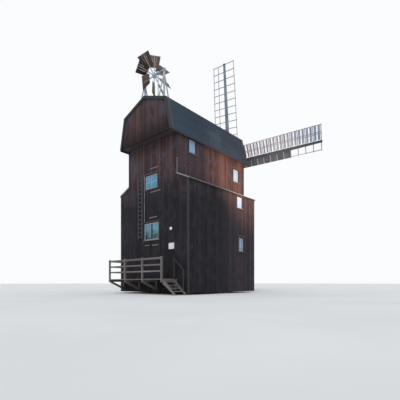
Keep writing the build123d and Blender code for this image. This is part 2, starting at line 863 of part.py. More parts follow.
def landing_rail_end():
    """Three short rails from the corner post back to the wall, with a post on the wall."""
    half = RAIL_POST / 2
    x = post_spots()[0]
    y0 = TAIL_Y - LANDING_DEPTH + RAIL_POST
    pieces = [block(x - half, x + half, TAIL_Y - RAIL_POST, TAIL_Y, LANDING_Z, RAIL_POST_TOP)]
    for z in RAIL_HEIGHTS:
        low, high = z - RAIL_BAR_H / 2, z + RAIL_BAR_H / 2
        pieces.append(block(x - RAIL_BAR_T / 2, x + RAIL_BAR_T / 2, y0, TAIL_Y, low, high))
    return joined(pieces)


def stair_rise():
    """Height of one riser."""
    return (LANDING_Z - STAIR_CLEAR) / STAIR_RISERS


def stair_sides():
    """Inner and outer edge of the stair, along Y."""
    inner = TAIL_Y - STAIR_WALL_GAP
    return inner, inner - STAIR_W


def stair_stringers():
    """Two sloping boards from the landing's end down to just over the ground."""
    run = STAIR_RISERS * STAIR_GOING
    slope = math.atan2(LANDING_Z - STAIR_CLEAR, run)
    deep = STRINGER_DEPTH / math.cos(slope)
    x0, x1 = LANDING_RIGHT, LANDING_RIGHT + run
    points = [
        (x0, LANDING_Z),
        (x0, LANDING_Z - deep),
        (x1 - STRINGER_DEPTH * math.sin(slope), STAIR_CLEAR),
        (x1, STAIR_CLEAR),
    ]
    inner, outer = stair_sides()
    return [
        prism_y(points, inner - STRINGER_T, inner),
        prism_y(points, outer, outer + STRINGER_T),
    ]


def stair_treads():
    """Treads housed between the stringers."""
    rise = stair_rise()
    inner, outer = stair_sides()
    treads = []
    for i in range(1, STAIR_RISERS):
        top = LANDING_Z - i * rise
        x0 = LANDING_RIGHT + (i - 1) * STAIR_GOING
        x1 = x0 + STAIR_GOING
        treads.append(block(x0, x1, outer + STRINGER_T, inner - STRINGER_T, top - TREAD_T, top))
    return treads


def stair_handrail():
    """A sloping rail on the wall side of the stair, on a post at its head and one at its foot."""
    slope = (LANDING_Z - STAIR_CLEAR) / (STAIR_RISERS * STAIR_GOING)
    y = stair_sides()[0] - HANDRAIL_T
    x0 = LANDING_RIGHT
    x1 = x0 + STAIR_RISERS * STAIR_GOING * HANDRAIL_SHARE

    def over_nosings(x, rise):
        return x, LANDING_Z - slope * (x - x0) + rise

    low, high = HANDRAIL_RISE, HANDRAIL_RISE + HANDRAIL_H
    rail = [over_nosings(x0, low), over_nosings(x1, low), over_nosings(x1, high), over_nosings(x0, high)]
    pieces = [prism_y(rail, y, y + HANDRAIL_T)]
    for x in (x0, x1 - HANDRAIL_H):
        foot, top = over_nosings(x, 0), over_nosings(x, low)
        far_foot, far_top = over_nosings(x + HANDRAIL_H, 0), over_nosings(x + HANDRAIL_H, low)
        pieces.append(prism_y([foot, far_foot, far_top, top], y, y + HANDRAIL_T))
    return joined(pieces)


# Small things on the tail wall


def lamp():
    """A round lamp over the door: back plate, rim and front, one on the other."""
    y = TAIL_Y
    rounds = []
    for radius, depth in ((LAMP_BACK_R, LAMP_BACK_T), (LAMP_R, LAMP_RIM_T), (LAMP_FRONT_R, LAMP_FRONT_T)):
        disc = Rot(Z=90) * prism_along_x(radius, LAMP_SIDES, depth)
        rounds.append(Pos(DOOR_X + DOOR_W / 2 + LAMP_ASIDE, y - depth / 2, LAMP_Z) * disc)
        y -= depth
    return joined(rounds)


def sign_plate():
    """A bare plate between the door and the lamp, both a little right of the door."""
    x = DOOR_X + DOOR_W / 2 + LAMP_ASIDE
    half_h = SIGN_H / 2
    return block(x - SIGN_W / 2, x + SIGN_W / 2, TAIL_Y - SIGN_T, TAIL_Y, SIGN_Z - half_h, SIGN_Z + half_h)


def tail_ladder():
    """A fixed ladder beside the tail windows, held off the wall by short arms."""
    pieces = []
    half = LADDER_W / 2
    y1 = TAIL_Y - LADDER_STANDOFF
    for side in (-1, 1):
        x = LADDER_X + side * half
        pieces.append(block(x - STILE_W / 2, x + STILE_W / 2, y1 - STILE_T, y1, LADDER_BOTTOM, LADDER_TOP))
        for z in (LADDER_BOTTOM + RUNG_PITCH, LADDER_TOP - RUNG_PITCH):
            low, high = z - STILE_T / 2, z + STILE_T / 2
            pieces.append(block(x - STILE_W / 2, x + STILE_W / 2, y1, TAIL_Y, low, high))
    count = int((LADDER_TOP - LADDER_BOTTOM) / RUNG_PITCH)
    for i in range(count):
        z = LADDER_BOTTOM + (i + 0.5) * RUNG_PITCH
        rung = Box(LADDER_W, RUNG_W, RUNG_W)
        pieces.append(Pos(LADDER_X, y1 - STILE_T / 2, z) * rung)
    return joined(pieces)


# Fantail


def strut(start, end, width, thickness, across=(1, 0, 0)):
    """A bar between two points, its width laid across."""
    a, b = Vector(*start), Vector(*end)
    direction = b - a
    plane = Plane(origin=a, x_dir=across, z_dir=direction.normalized())
    return extrude(plane * Rectangle(width, thickness), amount=direction.length)


def under_roof():
    """Everything below the outer faces of the upper roof slopes."""
    points = [
        (-BREAK_HALF, 0),
        (BREAK_HALF, 0),
        (BREAK_HALF, BREAK_Z),
        (0, RIDGE_Z),
        (-BREAK_HALF, BREAK_Z),
    ]
    return prism_y(points, ROOF_START, ROOF_END)


def fan_trestle():
    """A post and two raking struts on each roof slope, with a bearing for the fan's axle."""
    frames = []
    ground = under_roof()
    for side in (-1, 1):
        x = side * FAN_POST_X
        half = FAN_POST / 2
        top = FAN_HUB_Z - FAN_BEARING / 2
        low = BREAK_Z
        post = block(x - half, x + half, FAN_HUB_Y - half, FAN_HUB_Y + half, low, top)
        box = Pos(x, FAN_HUB_Y, FAN_HUB_Z) * Box(FAN_BEARING, FAN_BEARING, FAN_BEARING)
        frame = post + box
        for way in (-1, 1):
            head = (x, FAN_HUB_Y, top - FAN_POST)
            foot = (x, FAN_HUB_Y + way * FAN_FOOT_SPREAD, low)
            frame = frame + strut(foot, head, FAN_BRACE, FAN_BRACE)
        bore = Pos(x, FAN_HUB_Y, FAN_HUB_Z) * Rot(Y=90) * Cylinder(FAN_AXLE_R + FAN_AXLE_GAP, 2 * FAN_BEARING)
        frames.append(frame - bore - ground)
    return frames


def fan_drive():
    """The upright tube from the gear case on the axle down through the roof."""
    x = DRIVE_X
    case = Pos(x, FAN_HUB_Y, FAN_HUB_Z) * Box(DRIVE_CASE, DRIVE_CASE, DRIVE_CASE)
    length = FAN_HUB_Z - BREAK_Z
    tube = Rot(Y=90) * prism_along_x(DRIVE_R, DRIVE_SIDES, length)
    bore = Pos(x, FAN_HUB_Y, FAN_HUB_Z) * Rot(Y=90) * Cylinder(FAN_AXLE_R + FAN_AXLE_GAP, 2 * DRIVE_CASE)
    return case + Pos(x, FAN_HUB_Y, BREAK_Z + length / 2) * tube - bore - under_roof()


def fan_hub():
    """Axle and a boss with one flat for each blade."""
    length = 2 * FAN_POST_X + FAN_BEARING + 2 * FAN_AXLE_END
    axle = Rot(Y=90) * Cylinder(FAN_AXLE_R, length)
    boss = prism_along_x(FAN_BOSS_R, FAN_BLADES, FAN_BOSS_L)
    return Pos(0, FAN_HUB_Y, FAN_HUB_Z) * (axle + boss)


def fan_place(index):
    """A location at the fan's hub with Z along one blade, turned to the blade's pitch."""
    return Pos(0, FAN_HUB_Y, FAN_HUB_Z) * Rot(X=index * 360 / FAN_BLADES) * Rot(Z=90 - FAN_PITCH)


def fan_spokes():
    """A square spoke for each blade, seated on a flat of the boss."""
    half = FAN_SPOKE / 2
    spoke = block(-half, half, -half, half, FAN_BOSS_R, FAN_R - FAN_SPOKE)
    return [fan_place(i) * spoke for i in range(FAN_BLADES)]


def fan_blades():
    """Tapering boards, each set at an angle on its spoke."""
    y0 = FAN_SPOKE / 2
    outline = Polyline(
        (-FAN_ROOT_W / 2, FAN_ROOT_R),
        (FAN_ROOT_W / 2, FAN_ROOT_R),
        (FAN_TIP_W / 2, FAN_R),
        (-FAN_TIP_W / 2, FAN_R),
        close=True,
    )
    plane = Plane(origin=(0, y0, 0), x_dir=(-1, 0, 0), z_dir=(0, 1, 0))
    blade = extrude(plane * make_face(outline), amount=FAN_BLADE_T)
    return [fan_place(i) * blade for i in range(FAN_BLADES)]


# Write the nodes


def export(nodes):
    """One file for each named node."""
    os.makedirs("parts", exist_ok=True)
    for name, shape in nodes.items():
        body = Compound(children=list(shape)) if isinstance(shape, (list, tuple)) else shape
        export_step(body, f"parts/{name}.step")


def nodes():
    """Every node by name."""
    left, right, over, under, upper = tail_walls()
    rollers = [spot * roller() for spot in roller_spots()]
    frames = []
    glass = []
    for place, w, h in window_places():
        frames.append(place * window_frame(w, h))
        glass.append(place * Box(w - 2 * FRAME_W, GLASS_T, h - 2 * FRAME_W))
    bearings = [bearing_beam(y) + shaft_bearing(y) for y in BEARING_Y]
    result = {
        "foundation": foundation(),
        "pivot_pin": pivot_pin(),
        "track_rail": ring(RING_R, RAIL_W, RING_WALL_TOP, RAIL_TOP),
        "rollers": rollers,
        "roller_curb": roller_curb(),
        "sill_frame": sill_frame(),
        "entry_floor": floor_slab(HALF_LOWER - WALL_T, ENTRY_FLOOR_Z),
        "middle_floor": floor_slab(HALF_LOWER - WALL_T, MIDDLE_FLOOR_Z),
        "upper_floor": floor_slab(HALF_UPPER - WALL_T, UPPER_FLOOR_Z),
        "tail_wall_left": left,
        "tail_wall_right": right,
        "tail_wall_door_bay": [over, under],
        "tail_wall_upper": upper,
        "head_wall": head_wall(),
        "right_wall_lower": side_wall_lower(1),
        "left_wall_lower": side_wall_lower(-1),
        "right_wall_upper": side_wall_upper(1),
        "left_wall_upper": side_wall_upper(-1),
        "right_weathering": weathering(1),
        "left_weathering": weathering(-1),
        "roof_lower_right": roof_slab(1, 0),
        "roof_lower_left": roof_slab(-1, 0),
        "roof_upper_right": roof_slab(1, 1),
        "roof_upper_left": roof_slab(-1, 1),
        "ridge_cap": ridge_cap(),
        "tail_gable": tail_gable(),
        "tail_soffit": tail_soffit(),
        "head_gable": head_gable(),
        "window_frames": frames,
        "window_glass": glass,
        "shaft_bearings": bearings,
        "door_leaf": door_leaf(),
        "door_pintles": door_pintles(),
        "door_frame": door_frame(),
        "landing_deck": landing_deck(),
        "landing_brackets": landing_brackets(),
        "landing_rail_long": landing_rail_long(),
        "landing_rail_end": landing_rail_end(),
        "stair_stringers": stair_stringers(),
        "stair_treads": stair_treads(),
        "stair_handrail": stair_handrail(),
        "lamp": lamp(),
        "sign_plate": sign_plate(),
        "tail_ladder": tail_ladder(),
        "fan_trestle": fan_trestle(),
        "fan_drive": fan_drive(),
        "fan_hub": fan_hub(),
        "fan_spokes": fan_spokes(),
        "fan_blades": fan_blades(),
        "wind_shaft": wind_shaft(),
        "stock_1": stock(0),
        "stock_2": stock(1),
        "leading_boards": [sail_place(i) * board for i in (1, 3) for board in leading_boards()],
    }
    for index in range(4):
        result[f"sail_frame_{index + 1}"] = sail_place(index) * sail_frame(SAIL_KINDS[index % 2])
    for index in (1, 3):
        result[f"shutters_{index + 1}"] = [sail_place(index) * blade for blade in shutters()]
    return result


export(nodes())
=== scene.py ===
import json
import math
import random

import bpy
from mathutils import Matrix, Vector


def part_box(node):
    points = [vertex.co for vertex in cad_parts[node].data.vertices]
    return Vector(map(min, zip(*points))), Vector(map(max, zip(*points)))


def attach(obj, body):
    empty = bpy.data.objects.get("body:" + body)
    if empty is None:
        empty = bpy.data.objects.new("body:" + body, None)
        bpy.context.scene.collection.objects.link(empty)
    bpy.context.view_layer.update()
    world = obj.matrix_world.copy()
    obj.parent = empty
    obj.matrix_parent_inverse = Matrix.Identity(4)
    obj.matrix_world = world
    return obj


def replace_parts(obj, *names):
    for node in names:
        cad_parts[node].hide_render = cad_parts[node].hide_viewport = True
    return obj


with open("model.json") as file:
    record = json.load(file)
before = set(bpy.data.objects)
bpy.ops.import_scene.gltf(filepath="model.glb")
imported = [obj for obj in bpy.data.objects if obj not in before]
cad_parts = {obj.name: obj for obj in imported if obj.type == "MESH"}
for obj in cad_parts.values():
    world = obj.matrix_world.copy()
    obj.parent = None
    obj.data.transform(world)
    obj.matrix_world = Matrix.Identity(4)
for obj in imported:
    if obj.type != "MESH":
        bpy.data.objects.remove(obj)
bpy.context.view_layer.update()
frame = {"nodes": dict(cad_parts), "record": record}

chance = random.Random(11)

# Sizes in metres, as in the part's own source
TAIL, HEAD = -3.75, 3.75
HALF_LOWER, HALF_UPPER = 3.45, 2.475
SKIRT, DRIP, SHOULDER = 0.11, 7.23, 7.68
EAVE, BREAK, RIDGE = 10.3, 12.38, 13.2
EAVE_HALF, BREAK_HALF = 2.64, 2.18
ROOF_T, WEATHER_T, DRIP_OUT = 0.08, 0.06, 0.09
GABLE_FRONT = -4.35
ROOF_TAIL, ROOF_HEAD = -4.4, 4.01
DOOR_X, DOOR_W, DOOR_TOP = 1.4, 0.9, 2.87
FLOOR = 1.0205
LAMP_X, LAMP_Z = 1.98, 4.23
# Windows: the middle along the wall, the sill, the width and the height
WINDOW_FRAME_W = 0.055
TAIL_WINDOWS = [(0, 3.67, 1.5, 1.15), (0, 7.17, 1.24, 0.93)]
SIDE_LOWER_WINDOWS = [(1.95, 3.09, 0.57, 0.96), (1.75, 6.25, 0.63, 0.8)]
SIDE_UPPER_WINDOWS = [(2.65, 8.59, 0.64, 0.93), (-2.35, 9.34, 0.62, 0.86)]
HEAD_WINDOWS = [(0, 3.67, 0.9, 1.15)]
RAIL_HEIGHTS, POST_TOP = (1.47, 1.86, 2.24), 2.33
LANDING_LEFT, LANDING_RIGHT, LANDING_EDGE = -3.05, 2.5, -5.1
TRACK_SIDES, TRACK_R, TRACK_FOOT = 24, 3.0, 0.24
HUB = (0, 5.05, 11.15)
SHAFT_TILT, SAIL_ROLL = 7, 2
SHAFT_HOLE = 0.31
POLL_R, POLL_L = 0.36, 0.9
STOCK_W, STOCK_TIP_W = 0.3, 0.15
STOCK_D, STOCK_TIP_D = 0.24, 0.11
STOCK_OFFSET = 0.13
SAIL_R, SAIL_START, SAIL_BAYS = 8.4, 1.3, 12
SAIL_PITCH = (SAIL_R - 0.06 - SAIL_START) / SAIL_BAYS
WEATHER_HEEL, WEATHER_TIP = 18, 3
BAR_Y, BAR_W = -0.05, 0.05
DRIVE_SHUTTER, LEAD_SHUTTER = 1.2, 0.62
LEAD_LATTICE_BAYS = 4
FAN_HUB, FAN_POST_X = (0, -3.5, 15.0), 1.0
FAN_R, FAN_ROOT_R, FAN_PITCH = 1.4, 0.53, 35
FAN_TIP_W, FAN_ROOT_W = 0.9, 0.6
BLADE_FACES = (0.03, 0.05)
# From dark to bleached, from the top blade on towards the tail and round
BLADE_TONES = (0.7, 0.45, 0.1, 0.9, 1.0, 1.0, 0.7, 0.85)

# Joinery
BOARD_W, BOARD_T, SEAM = 0.18, 0.022, 0.006
BLOCK, SAWN_SOFT, PLANED_SOFT = 0.04, 0.004, 0.002
CASING_W, CASING_T = 0.09, 0.032
SILL_H, SILL_OUT, SILL_IN = 0.06, 0.075, -0.03
SHELF_END, HOOD_H = 0.02, 0.025
GLAZING_W, GLAZING_DEPTH = 0.026, (-0.068, -0.032)
MULLION_W, MULLION_DEPTH = 0.09, (-0.075, -0.01)
CORNER_W, CORNER_T = 0.09, 0.032
FELT_LAP, FELT_RISE, FELT_FACES = 0.06, 0.009, (-0.002, 0.004)
VERGE_DEPTH, VERGE_T, VERGE_OUT = 0.17, 0.028, 0.022

# The photograph's view: level, 29 mm lens, horizon below the middle
CAMERA_AT = (17.15, -18.34, 0.8)
CAMERA_AZIMUTH = 41.16
CAMERA_LENS = 29.39
CAMERA_SHIFT = 0.205


# Materials


def colour(code):
    """An sRGB hex colour as Blender's linear values."""
    values = []
    for start in (1, 3, 5):
        part = int(code[start:start + 2], 16) / 255
        values.append(part / 12.92 if part <= 0.04045 else ((part + 0.055) / 1.055) ** 2.4)
    return (*values, 1.0)


def add(tree, kind, values=None, out=0, stops=None, **settings):
    """One shader node with its settings and links, and the output that is used of it.

    A value is a number, a hex colour or another node's output. Stops are the steps of a colour ramp.
    """
    made = tree.nodes.new("ShaderNode" + kind)
    for name, value in settings.items():
        setattr(made, name, value)
    for name, value in (values or {}).items():
        if isinstance(value, bpy.types.NodeSocket):
            tree.links.new(value, made.inputs[name])
        else:
            made.inputs[name].default_value = colour(value) if isinstance(value, str) else value
    if stops:
        points = made.color_ramp.elements
        points[0].position, points[0].color = stops[0][0], colour(stops[0][1])
        points[1].position, points[1].color = stops[-1][0], colour(stops[-1][1])
        for position, code in stops[1:-1]:
            points.new(position).color = colour(code)
    return made.outputs[out] if made.outputs else None


def new_finish(name):
    """A material with an empty tree of nodes."""
    finish = bpy.data.materials.new(name)
    finish.use_nodes = True
    finish.node_tree.nodes.clear()
    return finish, finish.node_tree


def mottle(tree, size, detail=3.0):
    """Soft patches that measure size, in metres along X, Y and Z of the part's own frame."""
    values = {"Vector": add(tree, "TexCoord", out="Object"), "Scale": tuple(1 / s for s in size)}
    moved = add(tree, "Mapping", values)
    return add(tree, "TexNoise", {"Vector": moved, "Scale": 1.0, "Detail": detail})


def place_of(tree, axes):
    """Where a point lies on the piece, in metres along axes of the part's own frame."""
    place = add(tree, "TexCoord", out="Object")
    return [add(tree, "SeparateXYZ", {0: place}, axis) for axis in axes]


def board_tones(tree, codes):
    """A tone of its own for every board, on a scale from the first colour to the last."""
    own_tone = add(tree, "Attribute", out="Fac", attribute_name="tone")
    stops = [(i / (len(codes) - 1), code) for i, code in enumerate(codes)]
    return add(tree, "ValToRGB", {0: own_tone}, stops=stops)


def laid_over(tree, under, over, where=1.0, low=0.0, high=1.0, most=1.0, blend="MIX"):
    """One colour over another, from none of it where a pattern is low to the most where it is high."""
    share = add(tree, "MapRange", {"Value": where, "From Min": low, "From Max": high, "To Max": most})
    return add(tree, "Mix", {0: share, 6: under, 7: over}, 2, data_type="RGBA", blend_type=blend)


def surface(finish, skin, rough, height=None, depth=0.0, gloss=0.5, **constants):
    """The finish's one shader, with its colours, roughness, bumps of a depth in metres and constants.

    rough is a number, or a pattern with the roughness where it is low and where it is high.
    """
    tree = finish.node_tree
    if isinstance(rough, tuple):
        rough = add(tree, "MapRange", {"Value": rough[0], "To Min": rough[1], "To Max": rough[2]})
    values = {"Base Color": skin, "Roughness": rough, "Specular IOR Level": gloss, **constants}
    if height is not None:
        values["Normal"] = add(tree, "Bump", {"Height": height, "Strength": 1.0, "Distance": depth})
    add(tree, "OutputMaterial", {"Surface": add(tree, "BsdfPrincipled", values)})
    return finish


def timber_finish(name, boards, weather, grain, gloss=0.5, weather_share=0.55):
    """Sawn timber: a tone for every board, weather in long patches, and fibres along the grain.

    grain is the direction of the fibres, 0 for X, 1 for Y and 2 for Z. Fibres of about a millimetre are
    drawn 14 mm wide, because finer ones don't show from where such a mill is seen.
    """
    finish, tree = new_finish(name)
    fibre_size, patch_size = [0.014] * 3, [0.16] * 3
    fibre_size[grain], patch_size[grain] = 0.5, 1.8
    fibre, patch = mottle(tree, fibre_size, 4.0), mottle(tree, patch_size)
    wide = mottle(tree, (1.9, 1.9, 2.6), 2.0)
    base = board_tones(tree, boards)
    worn = laid_over(tree, base, weather, patch, 0.52, 0.78)
    blended = laid_over(tree, base, worn, wide, 0.35, 0.7, weather_share)
    shaded = laid_over(tree, blended, "#b4aeac", fibre, 0.6, 0.25, blend="MULTIPLY")
    return surface(finish, shaded, (fibre, 0.62, 0.85), fibre, 0.0012, gloss)


def weatherboard_finish(name):
    """Upright weatherboards: tar low down, and from about seven metres up a thinner red-brown coat.

    Rain has washed both to a grey violet, in runs down the boards and in blotches of half a metre.
    Towards the head the tar is painted lighter, as painted warm light from the head side; small flecks of
    the coat are gone on the sides' tail half, and the gables are darker at their feet.
    """
    finish, tree = new_finish(name)
    along, height = place_of(tree, "YZ")
    fibre, runs = mottle(tree, (0.014, 0.014, 0.6), 4.0), mottle(tree, (0.09, 0.09, 1.6), 4.0)
    wide, blotches = mottle(tree, (1.6, 1.6, 1.3)), mottle(tree, (0.5, 0.5, 0.65), 5.0)
    wander = add(tree, "Math", {0: wide, 1: 2.4, 2: height}, operation="MULTIPLY_ADD")
    # Towards the head the tar is painted lighter: painted warm light from the head side
    tar = laid_over(tree, board_tones(tree, LOW_TAR), board_tones(tree, WARM_LIT_TAR), along, 0.0, 0.9)
    whole, flecked = board_tones(tree, HIGH_COAT), HIGH_FLECKS
    gone = (mottle(tree, (0.05, 0.05, 0.07)), 0.52, 0.72)
    for limit in (gone, (along, 0.3, -2.6), (along, TAIL, TAIL + 0.3)):
        flecked = laid_over(tree, whole, flecked, *limit)
    coat_change = (wander, 7.4, 9.7)
    coat = laid_over(tree, tar, flecked, *coat_change)
    washed = laid_over(tree, LOW_WASHED, HIGH_WASHED, *coat_change)
    in_runs = add(tree, "MapRange", {"Value": runs, "From Min": 0.5})
    in_blotches = add(tree, "MapRange", {"Value": blotches, "From Min": 0.46, "From Max": 0.68})
    share = add(tree, "Math", {0: in_runs, 1: in_blotches}, operation="MAXIMUM")
    faded = laid_over(tree, coat, washed, share)
    # The gables darker towards their feet, fading upwards
    up_gable = add(tree, "MapRange", {"Value": height, "From Min": 10.25, "From Max": 11.65})
    darkening = add(tree, "ValToRGB", {0: up_gable}, stops=GABLE_FOOT_DARKENING)
    darkened = laid_over(tree, faded, darkening, blend="MULTIPLY")
    shaded = laid_over(tree, darkened, "#a39c9a", fibre, 0.6, 0.2, blend="MULTIPLY")
    return surface(finish, shaded, (runs, 0.6, 0.9), fibre, 0.0012, 0.2)


def painted_finish(name, paint, bare, rough=(0.38, 0.6), wear=(0.6, 0.72), patch=0.09):
    """Paint with brush marks, faded in patches, and worn through to what lies under it in places."""
    finish, tree = new_finish(name)
    brush, chips = mottle(tree, (0.05, 0.05, 0.05), 5.0), mottle(tree, (patch, patch, patch), 6.0)
    faded = laid_over(tree, *paint, mottle(tree, (0.7, 0.7, 0.9), 2.0), 0.3, 0.7)
    worn = laid_over(tree, faded, bare, chips, *wear)
    brushed = laid_over(tree, worn, "#dcdcdc", brush, 0.7, 0.3, blend="MULTIPLY")
    return surface(finish, brushed, (chips, *rough), brush, 0.0006)


def felt_finish(name, steps, grit, gloss, tail_highlight):
    """Mineral felt: a dark sheet with grit on it, stained in long runs down the slope.

    Towards the tail it turns to a tone of its own, a painted highlight at the tail end. Grit of 1 mm is
    drawn
    12 mm across, so that it still shows as a mottle.
    """
    finish, tree = new_finish(name)
    along = place_of(tree, "Y")[0]
    stain, grains = mottle(tree, (1.7, 1.7, 0.9), 4.0), mottle(tree, (0.012, 0.012, 0.012), 2.0)
    runs = add(tree, "MapRange", {"Value": stain, "From Min": 0.3, "From Max": 0.72})
    stained = add(tree, "ValToRGB", {0: runs}, stops=steps)
    # Towards the tail the felt turns to a painted highlight
    sheet = laid_over(tree, stained, tail_highlight, along, 0.4, -5.4)
    gritty = laid_over(tree, sheet, grit, grains, 0.55, 0.85)
    return surface(finish, gritty, (stain, 0.7, 0.95), grains, 0.0015, gloss)


def brick_finish(name):
    """Brown brick in lime mortar: bricks of 210 by 60 mm round the ring, with 10 mm joints."""
    finish, tree = new_finish(name)
    x, y, height = place_of(tree, "XYZ")
    angle = add(tree, "Math", {0: y, 1: x}, operation="ARCTAN2")
    round_wall = add(tree, "Math", {0: angle, 1: 3.2}, operation="MULTIPLY")
    values = {
        "Vector": add(tree, "CombineXYZ", {0: round_wall, 1: height}), "Scale": 1.0,
        "Brick Width": 0.22, "Row Height": 0.07, "Mortar Size": 0.006, "Mortar Smooth": 0.3,
        "Color1": "#7a6a60", "Color2": "#8d7c70", "Mortar": "#a9a49a",
    }
    bricks = add(tree, "TexBrick", values)
    darkening = mottle(tree, (0.3, 0.3, 0.2), 5.0)
    darkened = laid_over(tree, bricks, "#8f8a86", darkening, 0.7, 0.3, blend="MULTIPLY")
    inward = add(tree, "Math", {0: 1.0, 1: bricks.node.outputs["Fac"]}, operation="SUBTRACT")
    return surface(finish, darkened, 0.85, inward, 0.004)


def pane_finish(name):
    """Old drawn window glass with a painted reflection of the sky: deep and greenish low down, bright and
    blue high up.

    The painted reflection is brighter in the side windows, as of the open sky, and the end ones have a
    painted reflection of the ground and what stands on it.
    """
    finish, tree = new_finish(name)
    across, height = place_of(tree, "XZ")
    aside = add(tree, "Math", {0: across}, operation="ABSOLUTE")
    # Painted reflection of the sky: brighter in the side windows and higher up
    side_reflection = add(tree, "MapRange", {"Value": aside, "From Min": 1.5, "From Max": 2.2})
    waves = mottle(tree, (0.5, 0.5, 0.45), 2.0)
    wavy = add(tree, "Math", {0: waves, 1: 3.2, 2: height}, operation="MULTIPLY_ADD")
    bright = add(tree, "Math", {0: side_reflection, 1: 6.4, 2: wavy}, operation="MULTIPLY_ADD")
    sky = add(tree, "MapRange", {"Value": bright, "From Min": 4.2, "From Max": 14.5})
    glass = add(tree, "ValToRGB", {0: sky}, stops=PAINTED_SKY_REFLECTION)
    ripple = mottle(tree, (0.12, 0.12, 0.2), 1.0)
    return surface(finish, glass, 0.06, ripple, 0.0012, IOR=1.5, Alpha=0.94)


def spoke_finish(name):
    """Pine spokes of the fan: pale paint near the hub, and bare tanned wood where they carry blades."""
    finish, tree = new_finish(name)
    streaks = mottle(tree, (0.05, 0.05, 0.05), 4.0)
    reach = {0: add(tree, "TexCoord", out="Object"), 1: FAN_HUB}
    from_hub = add(tree, "VectorMath", reach, "Value", operation="DISTANCE")
    paint = laid_over(tree, *PALE_BLUE, streaks, 0.3, 0.7)
    wood = laid_over(tree, "#8b817c", "#b1a7a1", streaks, 0.3, 0.7)
    skin = laid_over(tree, paint, wood, from_hub, FAN_ROOT_R - 0.03, FAN_ROOT_R + 0.03)
    return surface(finish, skin, 0.7, streaks, 0.0006)


def metal_finish(name, steps, rust, metallic=0.6):
    """Forged or rolled iron under an old coat, with rust where water sits."""
    finish, tree = new_finish(name)
    skin, spots = mottle(tree, (0.03, 0.03, 0.03), 5.0), mottle(tree, (0.11, 0.11, 0.16), 6.0)
    coat = laid_over(tree, *steps, skin, 0.3, 0.7)
    rusty = laid_over(tree, coat, rust, spots, 0.6, 0.75)
    return surface(finish, rusty, (skin, 0.45, 0.7), skin, 0.0008, Metallic=metallic)


def opal_finish(name):
    """Opal polycarbonate, moulded: milky, half glossy, with a little dust on it."""
    finish, tree = new_finish(name)
    dust = mottle(tree, (0.05, 0.05, 0.08), 4.0)
    return surface(finish, laid_over(tree, "#f2f2ee", "#dcdcd6", dust, 0.3, 0.75), 0.28, IOR=1.55)


def plaster_finish(name):
    """Pale smooth plaster, nearly white to the camera."""
    finish, tree = new_finish(name)
    cloud = mottle(tree, (4, 4, 4))
    return surface(finish, laid_over(tree, "#eceeee", "#f4f5f5", cloud, 0.3, 0.7), 0.9)


# Tar low on the walls, and the red-brown coat that shows higher up, from dark boards to light ones
LOW_TAR = ("#19181e", "#222026", "#2b272d")
HIGH_COAT = ("#38292c", "#4d3837", "#644a44")
# The tar towards the head, painted lighter: painted warm light from the head side
WARM_LIT_TAR = ("#2d262c", "#3f353c", "#4d434a")
# The same coats where rain has washed them, and where small flecks of the upper one are gone
LOW_WASHED, HIGH_WASHED, HIGH_FLECKS = "#312e37", "#524a57", "#8a7f88"
# The gables darker at their feet, fading upwards
GABLE_FOOT_DARKENING = [(0, "#ffffff"), (0.05, "#7f7b7e"), (0.25, "#949092"), (1, "#ffffff")]
# Painted reflection in the panes, from the ground up to the open sky
PAINTED_SKY_REFLECTION = [
    (0.08, "#17333c"), (0.2, "#6799a9"), (0.32, "#3f7f9f"),
    (0.48, "#4086ac"), (0.72, "#779ec6"), (1, "#90b4e2"),
]
PALE_BLUE = ("#b4c3d4", "#d3dde8")

